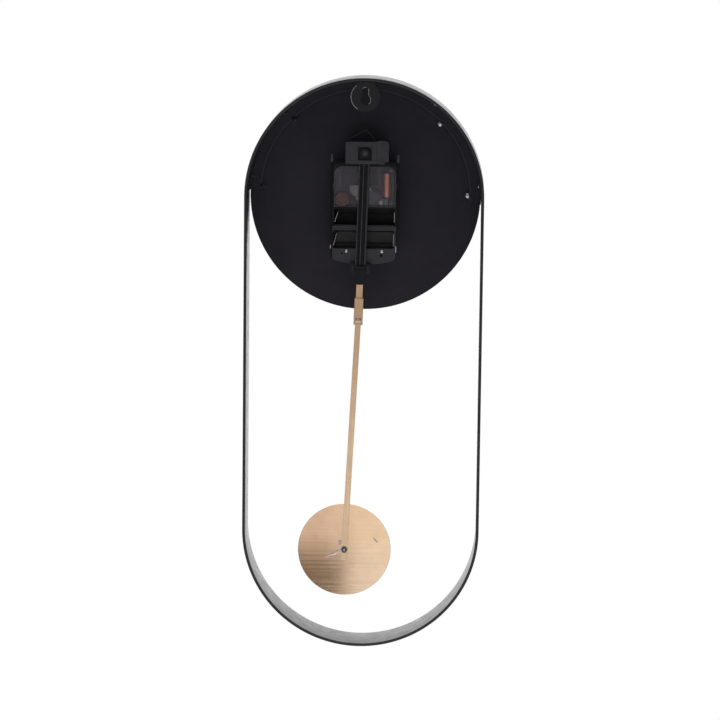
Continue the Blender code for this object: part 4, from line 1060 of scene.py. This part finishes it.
# the cards' depth, their size, and the lines where the brass turns from one card to the next
CARD_Y = 2.75
CARD_WIDTH, CARD_HEIGHT = 0.9, 0.7
SPLIT_X, SPLIT_Z, ROD_Z, SLEEVE_Z = 0.106, -0.985, -0.69, -0.56


def emitter(name, centre, size, strength, colour):
    """A bright upright card just behind the viewer, centred at (x, z), seen only in reflections."""
    grid = mesh_from(name, lambda bm: bmesh.ops.create_grid(bm, x_segments=1, y_segments=1, size=0.5))
    card = place(name, grid)
    stand = Matrix.Translation((centre[0], CARD_Y, centre[1])) @ Matrix.Rotation(math.pi / 2, 4, "X")
    card.matrix_world = stand @ Matrix.Diagonal((*size, 1, 1))
    material = bpy.data.materials.new(name)
    material.use_nodes = True
    shader = material.node_tree.nodes["Principled BSDF"]
    shader.inputs["Base Color"].default_value = (0, 0, 0, 1)
    shader.inputs["Specular IOR Level"].default_value = 0
    shader.inputs["Emission Color"].default_value = (*colour, 1)
    shader.inputs["Emission Strength"].default_value = strength
    card.data.materials.append(material)
    card.visible_camera = False
    card.visible_shadow = False


def make_cards():
    wide, tall = CARD_WIDTH, CARD_HEIGHT
    left, right = SPLIT_X + wide / 2, SPLIT_X - wide / 2
    high_z, middle_z, low_z = (ROD_Z + SLEEVE_Z) / 2, (SPLIT_Z + ROD_Z) / 2, SPLIT_Z - tall / 2
    high_tall, middle_tall = SLEEVE_Z - ROD_Z, ROD_Z - SPLIT_Z
    top = (SPLIT_X, SLEEVE_Z + tall / 2)
    emitter("card_top", top, (2 * wide, tall), 0.58, (1.0, 0.95, 0.84))
    emitter("card_high", (SPLIT_X, high_z), (2 * wide, high_tall), 0.12, (1.0, 0.7, 0.4))
    emitter("card_middle_left", (left, middle_z), (wide, middle_tall), 0.78, (1.0, 0.98, 0.97))
    emitter("card_middle_right", (right, middle_z), (wide, middle_tall), 1.0, (0.96, 1.0, 0.957))
    emitter("card_low_left", (left, low_z), (wide, tall), 0.21, (1.0, 0.88, 0.74))
    emitter("card_low_right", (right, low_z), (wide, tall), 1.13, (0.872, 0.955, 1.0))


def make_world():
    """Bright in front of the clock, dim behind the viewer, plain white where the camera sees it."""
    world = bpy.data.worlds.new("studio")
    bpy.context.scene.world = world
    world.use_nodes = True
    tree = world.node_tree
    tree.nodes.clear()

    def node(kind, inputs=None, **settings):
        made = tree.nodes.new(kind)
        for name, value in settings.items():
            setattr(made, name, value)
        for name, value in (inputs or {}).items():
            if isinstance(value, bpy.types.NodeSocket):
                tree.links.new(value, made.inputs[name])
            else:
                made.inputs[name].default_value = value
        return made

    def ramp(value, start, end, low, high):
        inputs = {"Value": value, "From Min": start, "From Max": end, "To Min": low, "To Max": high}
        return node("ShaderNodeMapRange", inputs, interpolation_type="SMOOTHSTEP").outputs["Result"]

    direction = node("ShaderNodeTexCoord").outputs["Generated"]
    axes = node("ShaderNodeSeparateXYZ", {0: direction}).outputs
    beyond = ramp(axes["Y"], 0.15, -0.6, WORLD_REAR, WORLD_FRONT)
    above = ramp(axes["Z"], 0.35, 0.95, 0.0, WORLD_TOP)
    below = ramp(axes["Z"], -0.15, -0.8, 0.0, WORLD_FLOOR)
    first = node("ShaderNodeMath", {0: beyond, 1: above}, operation="MAXIMUM").outputs[0]
    level = node("ShaderNodeMath", {0: first, 1: below}, operation="MAXIMUM").outputs[0]
    lit = node("ShaderNodeBackground", {"Color": (1, 1, 1, 1), "Strength": level})
    plain = node("ShaderNodeBackground", {"Color": (1, 1, 1, 1), "Strength": 1.0})
    seen = node("ShaderNodeLightPath").outputs["Is Camera Ray"]
    mix = node("ShaderNodeMixShader", {0: seen, 1: lit.outputs[0], 2: plain.outputs[0]})
    node("ShaderNodeOutputWorld", {"Surface": mix.outputs[0]})


def make_camera():
    data = bpy.data.cameras.new("camera")
    data.lens = LENS
    data.sensor_width = SENSOR
    data.clip_start, data.clip_end = 0.05, 60
    camera = bpy.data.objects.new("camera", data)
    bpy.context.scene.collection.objects.link(camera)
    look = (Vector(CAMERA_AIM) - Vector(CAMERA_PLACE)).to_track_quat("-Z", "Y").to_matrix().to_4x4()
    camera.matrix_world = Matrix.Translation(CAMERA_PLACE) @ look @ Matrix.Rotation(CAMERA_ROLL, 4, "Z")
    bpy.context.scene.camera = camera


def make_studio():
    make_world()
    make_camera()
    make_cards()
    floor_radius, floor_z = 3, -1.5
    floor = plate("floor", [circle(floor_radius, 96)], (-0.01, 0.0))
    lay = Matrix.Rotation(-math.pi / 2, 4, "X")
    floor.matrix_world = Matrix.Translation((0, 0, floor_z)) @ lay
    material = Finish("pale floor", Roughness=0.8)
    material.colour(material.noise(0.3), (0.9, 0.9, 0.9), (0.95, 0.95, 0.95))
    floor.data.materials.append(material.material)
    bpy.context.scene.view_settings.view_transform = "Standard"


make_studio()
ease_nodes()
make_hoop()
make_dial()
make_hour_marks()
make_bracket()
make_fixings()
make_loop()
make_frame_details()
make_drive_details()
make_bay_rails()
make_cover_rim()
make_hanger_edges()
make_winding()
make_knob()
make_arm_details()
make_hook_details()
make_clamp_and_nut()
make_glue()
